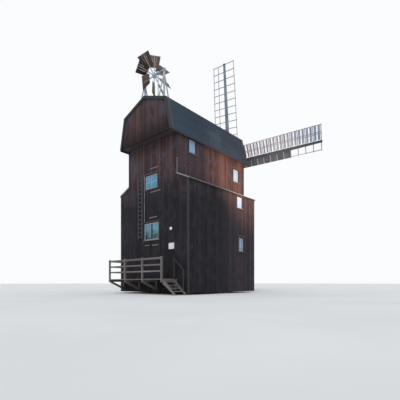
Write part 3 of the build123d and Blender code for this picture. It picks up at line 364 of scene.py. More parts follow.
FINISHES = {
    # Brown brick and lime mortar, rough and a little sooty
    "masonry": brick_finish("brown_brick"),
    # Wrought iron painted black long ago, dull, rusty in spots
    "iron": metal_finish("wrought_iron", ("#2b2a2b", "#434041"), "#6b4632"),
    # Oak frame timber, tarred, the saw marks still in it
    "frame_timber": timber_finish("tarred_oak", ("#4a3a31", "#5d4a3e"), "#6f6055", 0),
    # Pine floor boards, worn pale by feet
    "floor_timber": timber_finish("worn_pine", ("#8a745c", "#a08a70"), "#b3a38c", 1),
    # Pine weatherboards under wood tar: near black, painted a lighter brown-violet towards the head as
    # painted warm light
    "dark_boards": weatherboard_finish("tarred_pine"),
    # The same boards higher up, where a thinner red-brown coat shows
    "brown_boards": weatherboard_finish("red_brown_pine"),
    # Pale grey mineral felt on the short slopes, dull and gritty
    "weathering_felt": felt_finish("grey_felt", [(0, "#666a6e"), (1, "#8f9294")], "#adafae", 0.4, "#7d8184"),
    # Blue-grey mineral felt on the roof, gritty, stained down the slope, with a painted highlight towards
    # the tail
    "roof_felt": felt_finish(
        "slate_grey_felt", [(0, "#1e2939"), (0.6, "#283648"), (1, "#344553")], "#404f5d", 0.25, "#3c4c56"
    ),
    # Zinc sheet, dulled to a soft grey-green
    "zinc": painted_finish("weathered_zinc", ("#3d4a50", "#526067"), "#353d41", (0.5, 0.7)),
    # Pale blue-grey linseed paint on the sashes, chalky
    "window_frame": painted_finish("pale_linseed_paint", ("#aebfc8", "#d0dce1"), "#737b80"),
    # Drawn glass, wavy, with a painted reflection of the sky as its colour
    "window_glass": pane_finish("drawn_glass"),
    # Tarred pine planks of the door, nearly black and dull
    "door_boards": timber_finish("tarred_door_pine", ("#18161a", "#222025"), "#2b282d", 2, gloss=0.2),
    # Bare larch, silvered by rain
    "weathered_timber": timber_finish("silvered_larch", ("#736e6a", "#888380", "#9c9793"), "#b0aca8", 0),
    # Opal lamp cover, milky and half glossy
    "lamp_glass": opal_finish("opal_polycarbonate"),
    # White enamelled plate, smooth and glossy
    "white_plate": painted_finish(
        "white_enamel", ("#eceeee", "#f6f7f7"), "#d2d4d2", (0.25, 0.4), (0.72, 0.85)
    ),
    # Rolled steel brushed with a pale blue-white paint, faded in patches
    "light_steel": painted_finish("pale_blue_paint", PALE_BLUE, "#8f8f92"),
    # Stained pine blades of the fan, some of them bleached
    "fan_boards": timber_finish(
        "stained_pine", ("#2a2524", "#543f39", "#7c736d"), "#857a72", 2, weather_share=0.3
    ),
    # Oak wind shaft, tarred, the saw marks along it
    "shaft_timber": timber_finish("tarred_shaft_oak", ("#3b3432", "#4a413d"), "#5d5550", 1),
    # Slate-blue oil paint on the stocks, brushed on, chipped in places
    "stock_paint": painted_finish("slate_blue_paint", ("#65788c", "#8497ab"), "#47545f"),
    # Slate-blue paint on the windboards, more worn, in wider patches
    "sail_boards": painted_finish("faded_slate_paint", ("#3d4b5a", "#54626f"), "#7d7466", patch=0.3),
    # Pale violet-grey paint on the sawn laths, thin and half dull
    "sail_lath": painted_finish("violet_grey_paint", ("#8d92ab", "#abb0c6"), "#7b7782"),
    # Blue-grey paint brushed on the shutters, chalky in patches
    "shutter": painted_finish("blue_grey_paint", ("#a3b0c8", "#c2ccdd"), "#85858f"),
}

# Old boards of ledges and corners, gone a dull brown-grey
DULL_GREY = timber_finish("grey_brown_pine", ("#655c5c", "#7b7070"), "#8e8485", 2)
# Corner boards under thin tar
CORNER_TAR = timber_finish("tarred_corner_pine", ("#2e292e", "#3a3438"), "#474145", 2)
# Barge boards under old tar, flat and almost black-blue
VERGE_TAR = timber_finish("tarred_verge_pine", ("#20242a", "#2a2f36"), "#3d444b", 1)
# Zinc of the verges, tarred with the boards beside it
TARRED_ZINC = painted_finish("tarred_zinc", ("#2c2b31", "#3a3739"), "#4c4748", (0.5, 0.7))

# Nodes that look different from the rest of their slot
OWN_FINISHES = {
    # Galvanised ladder, gone dull and dark
    "tail_ladder": metal_finish("dull_galvanised_steel", ("#504f55", "#66656d"), "#594a44", 0.3),
    # The stair's handrail, tarred and made near black: painted shade, for the deep shade by the door
    "stair_handrail": timber_finish("shade_darkened_pine", ("#2f2c2f", "#3b373a"), "#4a4548", 0),
    # The stock that carries the shuttered sails, in an older and darker coat
    "stock_2": painted_finish("dark_slate_paint", ("#333e4b", "#475360"), "#5b5450"),
    # The soffit's boards, a lighter brown than the boards round them: painted light, to lift the shade under
    # the overhang
    "tail_soffit": timber_finish("lightened_soffit_pine", ("#483839", "#5a4646"), "#655252", 0),
    # Pine, painted at the hub and bare where it carries the blades
    "fan_spokes": spoke_finish("spoke_pine"),
}

for part in frame["record"]["subparts"]:
    node = frame["nodes"][part["node"]]
    node.data.materials.clear()
    node.data.materials.append(OWN_FINISHES.get(part["node"], FINISHES[part["material_slot"]]))


# Modelling


def deselect_all():
    """Nothing selected, and object mode."""
    if bpy.context.object is not None and bpy.context.object.mode != "OBJECT":
        bpy.ops.object.mode_set(mode="OBJECT")
    bpy.ops.object.select_all(action="DESELECT")


def softened_block(name, soft):
    """A small block with softened edges. Every board is a copy of it, drawn out to its own size."""
    deselect_all()
    bpy.ops.mesh.primitive_cube_add(size=BLOCK)
    block = bpy.context.object
    block.name = name
    bpy.ops.object.mode_set(mode="EDIT")
    bpy.ops.mesh.select_all(action="SELECT")
    bpy.ops.mesh.bevel(offset=soft, segments=1, affect="EDGES")
    bpy.ops.object.mode_set(mode="OBJECT")
    return block


SAWN = softened_block("sawn_block", SAWN_SOFT)
PLANED = softened_block("planed_block", PLANED_SOFT)


def drawn_out(low, high, place=None, rake=0.0, across=0, master=PLANED):
    """A copy of a block with its sides moved out to two corners, and its top cut to a rake."""
    piece = master.copy()
    piece.data = master.data.copy()
    bpy.context.collection.objects.link(piece)
    low, high = Vector(low), Vector(high)
    middle = (low + high) / 2
    grow = (high - low) / 2 - Vector((BLOCK, BLOCK, BLOCK)) / 2
    for corner in piece.data.vertices:
        top = corner.co.z > 0
        for axis in range(3):
            side = 1 if corner.co[axis] > 0 else -1
            corner.co[axis] += middle[axis] + side * grow[axis]
        if top:
            corner.co.z += rake * (corner.co[across] - middle[across])
    if place is not None:
        piece.data.transform(place)
    tone = piece.data.attributes.new("tone", "FLOAT", "POINT")
    tone.data.foreach_set("value", [chance.random()] * len(piece.data.vertices))
    return piece


def finished(piece, name, body, slot, finish=None):
    """A piece with its name and its finish, riding on its body."""
    piece.name = name
    piece.data.name = name
    piece.data.materials.clear()
    piece.data.materials.append(finish or FINISHES[slot])
    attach(piece, body)
    return piece


def joined(name, parts, body, slot, finish=None):
    """Several objects made one finished piece."""
    deselect_all()
    for part in parts:
        part.select_set(True)
    bpy.context.view_layer.objects.active = parts[0]
    bpy.ops.object.join()
    return finished(bpy.context.object, name, body, slot, finish)


def turned(profile, steps, place, smooth=40):
    """A round piece: a profile of (radius, height) points spun about Z, then put in its place."""
    deselect_all()
    shape = bpy.data.meshes.new("profile")
    points = [(r, 0, h) for r, h in profile]
    shape.from_pydata(points, [(i, i + 1) for i in range(len(points) - 1)], [])
    piece = bpy.data.objects.new("profile", shape)
    bpy.context.collection.objects.link(piece)
    piece.select_set(True)
    bpy.context.view_layer.objects.active = piece
    bpy.ops.object.mode_set(mode="EDIT")
    bpy.ops.mesh.select_all(action="SELECT")
    bpy.ops.mesh.spin(steps=steps, angle=2 * math.pi, center=(0, 0, 0), axis=(0, 0, 1))
    bpy.ops.mesh.select_all(action="SELECT")
    bpy.ops.mesh.remove_doubles(threshold=0.0002)
    bpy.ops.mesh.normals_make_consistent(inside=False)
    bpy.ops.object.mode_set(mode="OBJECT")
    bpy.ops.object.shade_smooth_by_angle(angle=math.radians(smooth))
    piece.data.transform(place)
    return piece


def turned_about(axis, degrees):
    """A turn about an axis of the frame."""
    return Matrix.Rotation(math.radians(degrees), 4, axis)


def hexagon_head():
    """A bolt head on a washer, about 30 mm across, facing along -Y."""
    profile = [
        (0, 0), (0.024, 0), (0.024, 0.003), (0.0155, 0.003), (0.0155, 0.011), (0.013, 0.014), (0, 0.014)
    ]
    return turned(profile, 6, turned_about("X", 90), 20)


BOLT = hexagon_head()


def bolts_at(name, spots, turn):
    """Bolt heads at points of the house, turned about Z by some degrees."""
    heads = []
    for point in spots:
        head = BOLT.copy()
        head.data = BOLT.data.copy()
        bpy.context.collection.objects.link(head)
        head.data.transform(Matrix.Translation(point) @ turned_about("Z", turn))
        heads.append(head)
    joined(name, heads, "house", "iron")


def mirrored(side, inner, outer):
    """Two distances put on one side of the middle, the lower one first."""
    return sorted((side * inner, side * outer))


# Walls: the axis they face along, the side they face and where their face is
TAIL_FACE = (1, -1, TAIL)
HEAD_FACE = (1, 1, HEAD)
GABLE_FACE = (1, -1, GABLE_FRONT)
RIGHT_LOWER = (0, 1, HALF_LOWER)
LEFT_LOWER = (0, -1, -HALF_LOWER)
RIGHT_UPPER = (0, 1, HALF_UPPER)
LEFT_UPPER = (0, -1, -HALF_UPPER)


def board_on(wall, u, out, z, rake=0.0, master=PLANED):
    """One board on a wall, from its ends along the wall, out of its face, and up."""
    axis, side, face = wall
    near, far = sorted((face + side * out[0], face + side * out[1]))
    if axis == 1:
        return drawn_out((u[0], near, z[0]), (u[1], far, z[1]), rake=rake, master=master)
    return drawn_out((near, u[0], z[0]), (far, u[1], z[1]), rake=rake, across=1, master=master)


def shared_out(stops, width):
    """Board edges between fixed stops, each run shared out evenly."""
    runs = []
    for a, b in zip(stops, stops[1:]):
        count = max(1, round((b - a) / width))
        step = (b - a) / count
        runs += [(a + i * step, a + (i + 1) * step) for i in range(count)]
    return runs


def clear_lengths(middle, foot, top, holes):
    """What is left of an upright board beside, under and over the holes in its way."""
    shortest = 0.03
    lengths = [(foot, top)]
    for centre, sill, width, height in holes:
        if abs(middle - centre) < width / 2:
            kept = []
            for a, b in lengths:
                kept += [(a, min(b, sill)), (max(a, sill + height), b)]
            lengths = [(a, b) for a, b in kept if b - a > shortest]
    return lengths


def boarding(name, wall, ends, foot, top, holes, slot, kinks=()):
    """Upright boards over a wall, with seams at its openings, cut to the wall's outline at the top."""
    stops = {ends[0], ends[1], *kinks}
    for centre, sill, width, height in holes:
        stops |= {centre - width / 2, centre + width / 2}
    boards = []
    for a, b in shared_out(sorted(stops), BOARD_W):
        middle = (a + b) / 2
        u = (a + SEAM / 2, b - SEAM / 2)
        proud = BOARD_T + chance.uniform(-0.004, 0.002)
        for z in clear_lengths(middle, foot, top(middle), holes):
            rake = (top(b) - top(a)) / (b - a) if z[1] == top(middle) else 0.0
            boards.append(board_on(wall, u, (0, proud), z, rake, SAWN))
    joined(name, boards, "house", slot)


def level(z):
    """A flat top."""
    return lambda u: z


def end_wall_top(u):
    """The end walls' outline over the drip line."""
    if abs(u) < HALF_UPPER:
        return EAVE
    return DRIP + (SHOULDER - DRIP) * (HALF_LOWER - abs(u)) / (HALF_LOWER - HALF_UPPER)


LOWER_SLOPE = math.atan2(BREAK - EAVE, EAVE_HALF - BREAK_HALF)
UPPER_SLOPE = math.atan2(RIDGE - BREAK, BREAK_HALF)
EAVE_IN = EAVE_HALF - ROOF_T / math.sin(LOWER_SLOPE)
CORNER_REACH = ROOF_T / math.cos((LOWER_SLOPE - UPPER_SLOPE) / 2)
CORNER_AIM = (LOWER_SLOPE + UPPER_SLOPE) / 2
BREAK_IN = BREAK_HALF - CORNER_REACH * math.sin(CORNER_AIM)
BREAK_IN_Z = BREAK - CORNER_REACH * math.cos(CORNER_AIM)
RIDGE_IN_Z = RIDGE - ROOF_T / math.cos(UPPER_SLOPE)


def gable_top(u):
    """The inside of the roof over the eaves."""
    if abs(u) > BREAK_IN:
        return BREAK_IN_Z - (abs(u) - BREAK_IN) * math.tan(LOWER_SLOPE)
    return RIDGE_IN_Z - abs(u) * (RIDGE_IN_Z - BREAK_IN_Z) / BREAK_IN


# The hole in the boards is wider on the hinge side, to clear the knuckles
DOOR_HOLE = (1.79, 0.0, 1.04, DOOR_TOP)
SHAFT_EXIT = HUB[2] - (HUB[1] - HEAD) * math.tan(math.radians(SHAFT_TILT))


def wall_boards():
    """The boards of every wall and gable."""
    dark, brown = "dark_boards", "brown_boards"
    end, breast = (-HALF_LOWER, HALF_LOWER), (-HALF_UPPER, HALF_UPPER)
    boarding("tail_boards_lower", TAIL_FACE, end, SKIRT, level(DRIP), TAIL_WINDOWS + [DOOR_HOLE], dark)
    boarding("tail_boards_upper", TAIL_FACE, end, DRIP + SEAM, end_wall_top, TAIL_WINDOWS, brown, breast)
    boarding("head_boards_lower", HEAD_FACE, end, SKIRT, level(DRIP), HEAD_WINDOWS, dark)
    boarding("head_boards_upper", HEAD_FACE, end, DRIP + SEAM, end_wall_top, [], brown, breast)
    gable, folds = (-EAVE_IN + 0.01, EAVE_IN - 0.01), (-BREAK_IN, 0.0, BREAK_IN)
    hole = (0.0, SHAFT_EXIT - SHAFT_HOLE, 2 * SHAFT_HOLE, 2 * SHAFT_HOLE)
    boarding("tail_gable_boards", GABLE_FACE, gable, EAVE, gable_top, [], brown, folds)
    boarding("head_gable_boards", HEAD_FACE, gable, EAVE + SEAM, gable_top, [hole], brown, folds)
    flank, foot = (TAIL - BOARD_T, HEAD + BOARD_T), SHOULDER + WEATHER_T
    under_drip, behind_eave = level(DRIP - 0.015), level(EAVE + 0.2)
    for side, wall in (("right", RIGHT_LOWER), ("left", LEFT_LOWER)):
        boarding(f"{side}_boards_lower", wall, flank, SKIRT, under_drip, SIDE_LOWER_WINDOWS, dark)
    for side, wall in (("right", RIGHT_UPPER), ("left", LEFT_UPPER)):
        boarding(f"{side}_boards_upper", wall, flank, foot, behind_eave, SIDE_UPPER_WINDOWS, brown)


def corner_boards():
    """A board on each face at the eight upright corners of the two bodies."""
    boards = []
    heights = ((HALF_LOWER, (SKIRT, DRIP - 0.03)), (HALF_UPPER, (SHOULDER + WEATHER_T, EAVE)))
    for end in (TAIL_FACE, HEAD_FACE):
        v = sorted((end[2], end[2] - end[1] * (CORNER_W - CORNER_T)))
        for side in (-1, 1):
            for half, z in heights:
                u = mirrored(side, half + CORNER_T - CORNER_W, half + CORNER_T)
                boards.append(board_on(end, u, (0, CORNER_T), z, master=SAWN))
                boards.append(board_on((0, side, side * half), v, (0, CORNER_T), z, master=SAWN))
    joined("corner_boards", boards, "house", "dark_boards", CORNER_TAR)


def corner_felt():
    """Felt from the right weathering, turned up the tail corner over it."""
    u = (HALF_UPPER + 0.005, HALF_UPPER + CORNER_T + 0.003)
    z = (SHOULDER + WEATHER_T, SHOULDER + 1.0)
    out = (CORNER_T - 0.003, CORNER_T + 0.004)
    strips = [
        board_on(TAIL_FACE, u, out, z),
        board_on(RIGHT_UPPER, (TAIL - CORNER_T, TAIL - 0.005), out, z),
    ]
    joined("corner_felt", strips, "house", "weathering_felt")


# Windows


def window_trim(wall, window, columns, rows, casements):
    """Casing with mullions, ledges, and glazing bars of one window."""
    centre, sill, width, height = window
    left, right, top = centre - width / 2, centre + width / 2, sill + height
    ends = (left - CASING_W, right + CASING_W)
    shelf = (ends[0] - SHELF_END, ends[1] + SHELF_END)
    hood = top + CASING_W
    casing = [
        ((ends[0], left), (0, CASING_T), (sill, top)),
        ((right, ends[1]), (0, CASING_T), (sill, top)),
        (ends, (0, CASING_T), (top, hood)),
    ]
    shelves = [
        (shelf, (SILL_IN, SILL_OUT), (sill - SILL_H, sill)),
        (shelf, (0, SILL_OUT), (hood, hood + HOOD_H)),
    ]
    pane = (left + WINDOW_FRAME_W, right - WINDOW_FRAME_W)
    pane_z = (sill + WINDOW_FRAME_W, top - WINDOW_FRAME_W)
    leaf = (pane[1] - pane[0]) / casements
    mullions = [pane[0] + k * leaf for k in range(1, casements)]
    uprights = [pane[0] + (k + i / columns) * leaf for k in range(casements) for i in range(1, columns)]
    levels = [pane_z[0] + (pane_z[1] - pane_z[0]) * i / rows for i in range(1, rows)]
    casing += [((x - MULLION_W / 2, x + MULLION_W / 2), MULLION_DEPTH, pane_z) for x in mullions]
    half = GLAZING_W / 2
    bars = [((x - half, x + half), GLAZING_DEPTH, pane_z) for x in uprights]
    bars += [(pane, GLAZING_DEPTH, (z - half, z + half)) for z in levels]
    return [[board_on(wall, *spot) for spot in spots] for spots in (casing, shelves, bars)]


def window_trims():
    """The trim of every window: tarred casings, grey ledges and white glazing bars."""
    rows = [
        (TAIL_FACE, TAIL_WINDOWS[0], 1, 1, 2), (TAIL_FACE, TAIL_WINDOWS[1], 2, 2, 1),
        (HEAD_FACE, HEAD_WINDOWS[0], 2, 3, 1),
    ]
    for lower, upper in ((RIGHT_LOWER, RIGHT_UPPER), (LEFT_LOWER, LEFT_UPPER)):
        rows += [(lower, SIDE_LOWER_WINDOWS[0], 2, 3, 1), (lower, SIDE_LOWER_WINDOWS[1], 2, 2, 1)]
        rows += [(upper, window, 2, 2, 1) for window in SIDE_UPPER_WINDOWS]
    casings, ledges, bars = [], [], []
    for row in rows:
        casing, shelves, glazing = window_trim(*row)
        casings += casing
        ledges += shelves
        bars += glazing
    joined("window_casings", casings, "house", "dark_boards", VERGE_TAR)
    joined("window_ledges", ledges, "house", "weathered_timber", DULL_GREY)
    joined("glazing_bars", bars, "house", "window_frame")


# Roof and weatherings

WEATHER_SLOPE = math.atan2(SHOULDER - DRIP, HALF_LOWER - HALF_UPPER)
WEATHER_LENGTH = (HALF_LOWER + DRIP_OUT - HALF_UPPER) / math.cos(WEATHER_SLOPE)
# Slopes: their foot, out and up, their angle and their length
WEATHERING = (
    HALF_LOWER + DRIP_OUT, DRIP - DRIP_OUT * math.tan(WEATHER_SLOPE) + WEATHER_T,
    WEATHER_SLOPE, WEATHER_LENGTH - 0.03,
)
LOWER_ROOF = (EAVE_HALF, EAVE, LOWER_SLOPE, math.hypot(BREAK - EAVE, EAVE_HALF - BREAK_HALF))
UPPER_ROOF = (BREAK_HALF, BREAK, UPPER_SLOPE, math.hypot(RIDGE - BREAK, BREAK_HALF))


def slope_place(side, slope):
    """A frame on a slope: X up the slope, Y along the mill, Z out of it."""
    x, z, angle = slope[:3]
    up = Vector((-side * math.cos(angle), 0, math.sin(angle)))
    out = Vector((side * math.sin(angle), 0, math.cos(angle)))
    place = Matrix((up, Vector((0, 1, 0)), out)).transposed().to_4x4()
    place.translation = Vector((side * x, 0, z))
    return place


def laid_on(place, board):
    """A board put on a slope, its faces turned back where the slope's frame mirrors it."""
    if place.determinant() < 0:
        board.data.flip_normals()
    board.data.transform(place)
    return board


def felt_courses(name, side, slope, ends, courses, slot):
    """Strips of felt along a slope, each lapped over the one below."""
    strips = []
    length = slope[3]
    step = length / courses
    for i in range(courses):
        foot, head = i * step, min(length, (i + 1) * step + FELT_LAP)
        strip = drawn_out((foot, ends[0], FELT_FACES[0]), (head, ends[1], FELT_FACES[1]))
        for corner in strip.data.vertices:
            corner.co.z += FELT_RISE * (1 - (corner.co.x - foot) / (step + FELT_LAP))
        strips.append(laid_on(slope_place(side, slope), strip))
    joined(name, strips, "house", slot)


def felts():
    """The felt of the roof and of the weatherings, a little short of their ends."""
    roof_ends, wall_ends = (ROOF_TAIL + 0.01, ROOF_HEAD - 0.01), (TAIL + 0.01, HEAD - 0.01)
    for side, word in ((1, "right"), (-1, "left")):
        felt_courses(f"roof_felt_lower_{word}", side, LOWER_ROOF, roof_ends, 3, "roof_felt")
        felt_courses(f"roof_felt_upper_{word}", side, UPPER_ROOF, roof_ends, 3, "roof_felt")
        felt_courses(f"weathering_felt_{word}", side, WEATHERING, wall_ends, 2, "weathering_felt")


def mitred(place, reach, ends, leans):
    """A board down the edge of a slope, its foot and its head leaning to meet the next board."""
    board = drawn_out((reach[0], ends[0], -VERGE_DEPTH), (reach[1], ends[1], VERGE_OUT))
    middle = sum(reach) / 2
    for corner in board.data.vertices:
        if corner.co.x > middle:
            corner.co.x += corner.co.z * math.tan(leans[1])
        else:
            corner.co.x -= corner.co.z * math.tan(leans[0])
    return laid_on(place, board)


def verge_boards():
    """Boards down the four sloping edges of the roof at both ends, mitred at the breaks and the ridge."""
    boards = []
    turn = (LOWER_SLOPE - UPPER_SLOPE) / 2
    under_eave = -0.03
    for side in (-1, 1):
        lower, upper = slope_place(side, LOWER_ROOF), slope_place(side, UPPER_ROOF)
        for ends in ((ROOF_TAIL - VERGE_T, ROOF_TAIL), (ROOF_HEAD, ROOF_HEAD + VERGE_T)):
            boards.append(mitred(lower, (under_eave, LOWER_ROOF[3]), ends, (0, turn)))
            boards.append(mitred(upper, (0, UPPER_ROOF[3]), ends, (turn, UPPER_SLOPE)))
    joined("verge_boards", boards, "house", "dark_boards", VERGE_TAR)


def verge_flashing():
    """Zinc laid over the felt along both ends of every roof slope."""
    width, short, low, high = 0.24, 0.005, 0.004, 0.018
    strips = []
    for side in (-1, 1):
        for slope in (LOWER_ROOF, UPPER_ROOF):
            for y0, y1 in ((ROOF_TAIL, ROOF_TAIL + width), (ROOF_HEAD - width, ROOF_HEAD)):
                strip = drawn_out((short, y0, low), (slope[3] - short, y1, high))
                strips.append(laid_on(slope_place(side, slope), strip))
    joined("verge_flashing", strips, "house", "zinc", TARRED_ZINC)


def drip_boards():
    """An edge board under the foot of each weathering, felt folded over it, and raking end boards."""
    edges, folds = [], []
    x, z = WEATHERING[:2]
    y0, y1 = TAIL - 0.03, HEAD + 0.03
    board_z, fold_z = (z - 0.1, z - 0.032), (z - 0.03, z + 0.004)
    rake_t, rake_low, rake_high = 0.05, -0.07, 0.012
    for side in (-1, 1):
        a, b = mirrored(side, x - 0.004, x + 0.024)
        edges.append(drawn_out((a, y0, board_z[0]), (b, y1, board_z[1])))
        folds.append(drawn_out((a, y0, fold_z[0]), (b, y1, fold_z[1])))
        for near, far in ((TAIL - rake_t, TAIL), (HEAD, HEAD + rake_t)):
            rake = drawn_out((0, near, rake_low), (WEATHER_LENGTH, far, rake_high))
            folds.append(laid_on(slope_place(side, WEATHERING), rake))
    joined("drip_boards", edges, "house", "dark_boards", VERGE_TAR)
    joined("drip_folds", folds, "house", "weathering_felt")


def eaves_boards():
    """A soffit board and a fascia under each eave."""
    soffit = (HALF_UPPER + BOARD_T, EAVE_HALF + 0.006, EAVE - 0.03, EAVE)
    fascia = (EAVE_HALF - 0.02, EAVE_HALF + 0.012, EAVE - 0.12, EAVE + 0.01)
    boards = []
    for side in (-1, 1):
        for inner, outer, z0, z1 in (soffit, fascia):
            a, b = mirrored(side, inner, outer)
            boards.append(drawn_out((a, ROOF_TAIL, z0), (b, ROOF_HEAD, z1)))
    joined("eaves_boards", boards, "house", "dark_boards", VERGE_TAR)


# Landing, door and the small things on the tail wall


def deck_planks():
    """Planks along the landing, in place of the plain deck."""
    low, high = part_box("landing_deck")
    width, gap = 0.15, 0.008
    planks = [
        drawn_out((low.x, a + gap / 2, low.z), (high.x, b - gap / 2, high.z), master=SAWN)
        for a, b in shared_out((low.y, high.y), width)
    ]
    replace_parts(joined("deck_planks", planks, "house", "weathered_timber"), "landing_deck")


def rail_details():
    """Weathered caps on the posts, a flat hand board over the top rail, and the bolts of the rails."""
    post, half_cap, half_board, thick, clear = 0.1, 0.055, 0.045, 0.022, 0.052
    board_z = RAIL_HEIGHTS[-1] + 0.045
    pitch = (LANDING_RIGHT - LANDING_LEFT - post) / 3
    posts = [LANDING_LEFT + post / 2 + i * pitch for i in range(4)]
    caps, spots = [], []
    for x in posts:
        low = (x - half_cap, LANDING_EDGE, POST_TOP)
        caps.append(drawn_out(low, (x + half_cap, LANDING_EDGE + 2 * half_cap, POST_TOP + thick)))
        spots += [(x, LANDING_EDGE + post, z) for z in RAIL_HEIGHTS]
    y = LANDING_EDGE + post / 2
    for x0, x1 in zip(posts, posts[1:]):
        low = (x0 + clear, y - half_board, board_z)
        caps.append(drawn_out(low, (x1 - clear, y + half_board, board_z + thick)))
    joined("rail_caps", caps, "house", "weathered_timber")
    bolts_at("rail_bolts", spots, 180)


def lamp_pieces():
    """The bulkhead lamp: a painted housing with a rim, and an opal dome in it."""
    place = Matrix.Translation((LAMP_X, TAIL, LAMP_Z)) @ turned_about("X", 90)
    housing = [
        (0, 0), (0.09, 0), (0.09, 0.038), (0.112, 0.042), (0.115, 0.046), (0.115, 0.078),
        (0.111, 0.084), (0.102, 0.084), (0.1, 0.074), (0, 0.074),
    ]
    dome = [
        (0, 0.072), (0.0995, 0.072), (0.0995, 0.086), (0.095, 0.1), (0.083, 0.112),
        (0.062, 0.12), (0.034, 0.124), (0, 0.125),
    ]
    shell = finished(turned(housing, 40, place), "lamp_housing", "house", "light_steel")
    finished(turned(dome, 40, place, 60), "lamp_dome", "house", "lamp_glass")
    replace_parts(shell, "lamp")


def plate_rim():
    """A folded rim round the bare plate, and its four screws."""
    low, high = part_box("sign_plate")
    fold, proud, screw_in = 0.014, 0.006, 0.045
    x0, x1, z0, z1 = low.x, high.x, low.z, high.z
    y0, y1 = low.y - proud, low.y
    rim = [
        drawn_out((x0, y0, z0), (x1, y1, z0 + fold)),
        drawn_out((x0, y0, z1 - fold), (x1, y1, z1)),
        drawn_out((x0, y0, z0 + fold), (x0 + fold, y1, z1 - fold)),
        drawn_out((x1 - fold, y0, z0 + fold), (x1, y1, z1 - fold)),
    ]
    joined("plate_rim", rim, "house", "white_plate")
    corners = [(x, z) for x in (x0 + screw_in, x1 - screw_in) for z in (z0 + screw_in, z1 - screw_in)]
    bolts_at("plate_screws", [(x, low.y, z) for x, z in corners], 0)


def door_casing():
    """Casing round the doorway: thin under the pintle plates, full on the other side."""
    hinge_side, lock_side, head = (1.275, 1.375), (2.306, 2.39), (1.27, 2.39)
    thin, head_t, head_h = 0.005, 0.027, 0.045
    boards = [
        board_on(TAIL_FACE, hinge_side, (0, thin), (FLOOR, DOOR_TOP)),
        board_on(TAIL_FACE, lock_side, (0, CASING_T), (FLOOR, DOOR_TOP)),
        board_on(TAIL_FACE, head, (0, head_t), (DOOR_TOP, DOOR_TOP + head_h)),
    ]
    joined("door_casing", boards, "house", "dark_boards")


def door_planks():
    """Upright planks between the straps on the leaf's face, with ledges and a brace behind."""
    edge, seam, inside = 0.012, 0.002, (-0.065, -0.045)
    plank_w, gap, plank_t = 0.145, 0.003, 0.008
    straps = [(FLOOR + rise, FLOOR + rise + 0.07) for rise in (0.35, 1.5)]
    lengths = [
        (FLOOR + edge, straps[0][0] - seam),
        (straps[0][1] + seam, straps[1][0] - seam),
        (straps[1][1] + seam, DOOR_TOP - edge),
    ]
    planks = []
    for a, b in shared_out((DOOR_X + edge, DOOR_X + DOOR_W - edge), plank_w):
        planks += [board_on(TAIL_FACE, (a + gap, b - gap), (0, plank_t), z) for z in lengths]
    ledge, ledge_h = (DOOR_X + 0.08, DOOR_X + 0.82), 0.12
    lower, upper = FLOOR + 0.3, FLOOR + 1.45
    planks += [board_on(TAIL_FACE, ledge, inside, (z, z + ledge_h)) for z in (lower, upper)]
    foot, reach = DOOR_X + 0.14, 0.62
    brace_z = (lower + ledge_h, lower + 2 * ledge_h)
    brace = board_on(TAIL_FACE, (foot, foot + reach), inside, brace_z)
    climb = 0.88 * (upper - lower - ledge_h) / reach
    for corner in brace.data.vertices:
        corner.co.z += climb * (corner.co.x - foot)
    joined("door_planks", planks + [brace], "door", "door_boards")


def door_handle():
    """A handle: its plate, the lever, and the neck between them."""
    plate = ((0.79, 0.84), (0.008, 0.013), (2.0, 2.16))
    lever = ((0.7, 0.825), (0.036, 0.05), (2.09, 2.108))
    neck = ((0.806, 0.824), (0.008, 0.045), (2.09, 2.108))
    handle = [
        board_on(TAIL_FACE, (DOOR_X + u[0], DOOR_X + u[1]), out, z) for u, out, z in (plate, lever, neck)
    ]
    joined("door_handle", handle, "door", "iron")


def short_boards():
    """The short pale boards nailed over and under the tail windows, and one over a side window."""
    spots = [
        ((-0.12, 0.72), 8.47), ((-0.08, 0.95), 6.87), ((-0.2, 0.6), 5.14),
        ((-0.65, -0.17), 3.27), ((0.1, 0.75), 3.25),
    ]
    out, board_h = (0.018, 0.045), 0.085
    boards = [board_on(TAIL_FACE, u, out, (z, z + board_h)) for u, z in spots]
    boards.append(board_on(RIGHT_LOWER, (1.5, 2.4), (0.018, 0.1), (4.2, 4.235)))
    joined("short_boards", boards, "house", "weathered_timber", DULL_GREY)


def pale_strip_by_ladder():
    """A pale strip down the wall beside the ladder, on clips, as far as the lower window."""
    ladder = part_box("tail_ladder")[1]
    foot = TAIL_WINDOWS[0][1] + TAIL_WINDOWS[0][3] + CASING_W + 0.03
    x0, x1, clips, clip_out, clip_h = ladder.x + 0.085, ladder.x + 0.107, 4, 0.012, 0.03
    strips = [board_on(TAIL_FACE, (x0, x1), (0.028, 0.036), (foot, ladder.z))]
    for i in range(clips):
        z = foot + 0.1 + i * (ladder.z - foot - 0.25) / (clips - 1)
        strips.append(board_on(TAIL_FACE, (x0 - clip_out, x1 + clip_out), (0.01, 0.03), (z, z + clip_h)))
    joined("pale_strip_by_ladder", strips, "house", "light_steel")


# Ground ring


def rail_chairs():
    """An iron chair under every joint of the rail, with four spikes."""
    half_turn = 180 / TRACK_SIDES
    reach = TRACK_R / math.cos(math.radians(half_turn))
    half_x, half_y, chair_t, spike, spike_top = 0.11, 0.06, 0.016, 0.011, 0.03
    chairs, spikes = [], []
    for i in range(TRACK_SIDES):
        turn = turned_about("Z", 2 * half_turn * i + half_turn)
        low = (reach - half_x, -half_y, TRACK_FOOT)
        chairs.append(drawn_out(low, (reach + half_x, half_y, TRACK_FOOT + chair_t), turn))
        for x in (reach - 0.085, reach + 0.085):
            for y in (-0.035, 0.035):
                low = (x - spike, y - spike, TRACK_FOOT + chair_t - 0.002)
                spikes.append(drawn_out(low, (x + spike, y + spike, TRACK_FOOT + spike_top), turn))
    joined("rail_chairs", chairs + spikes, "base", "iron")


# Fantail


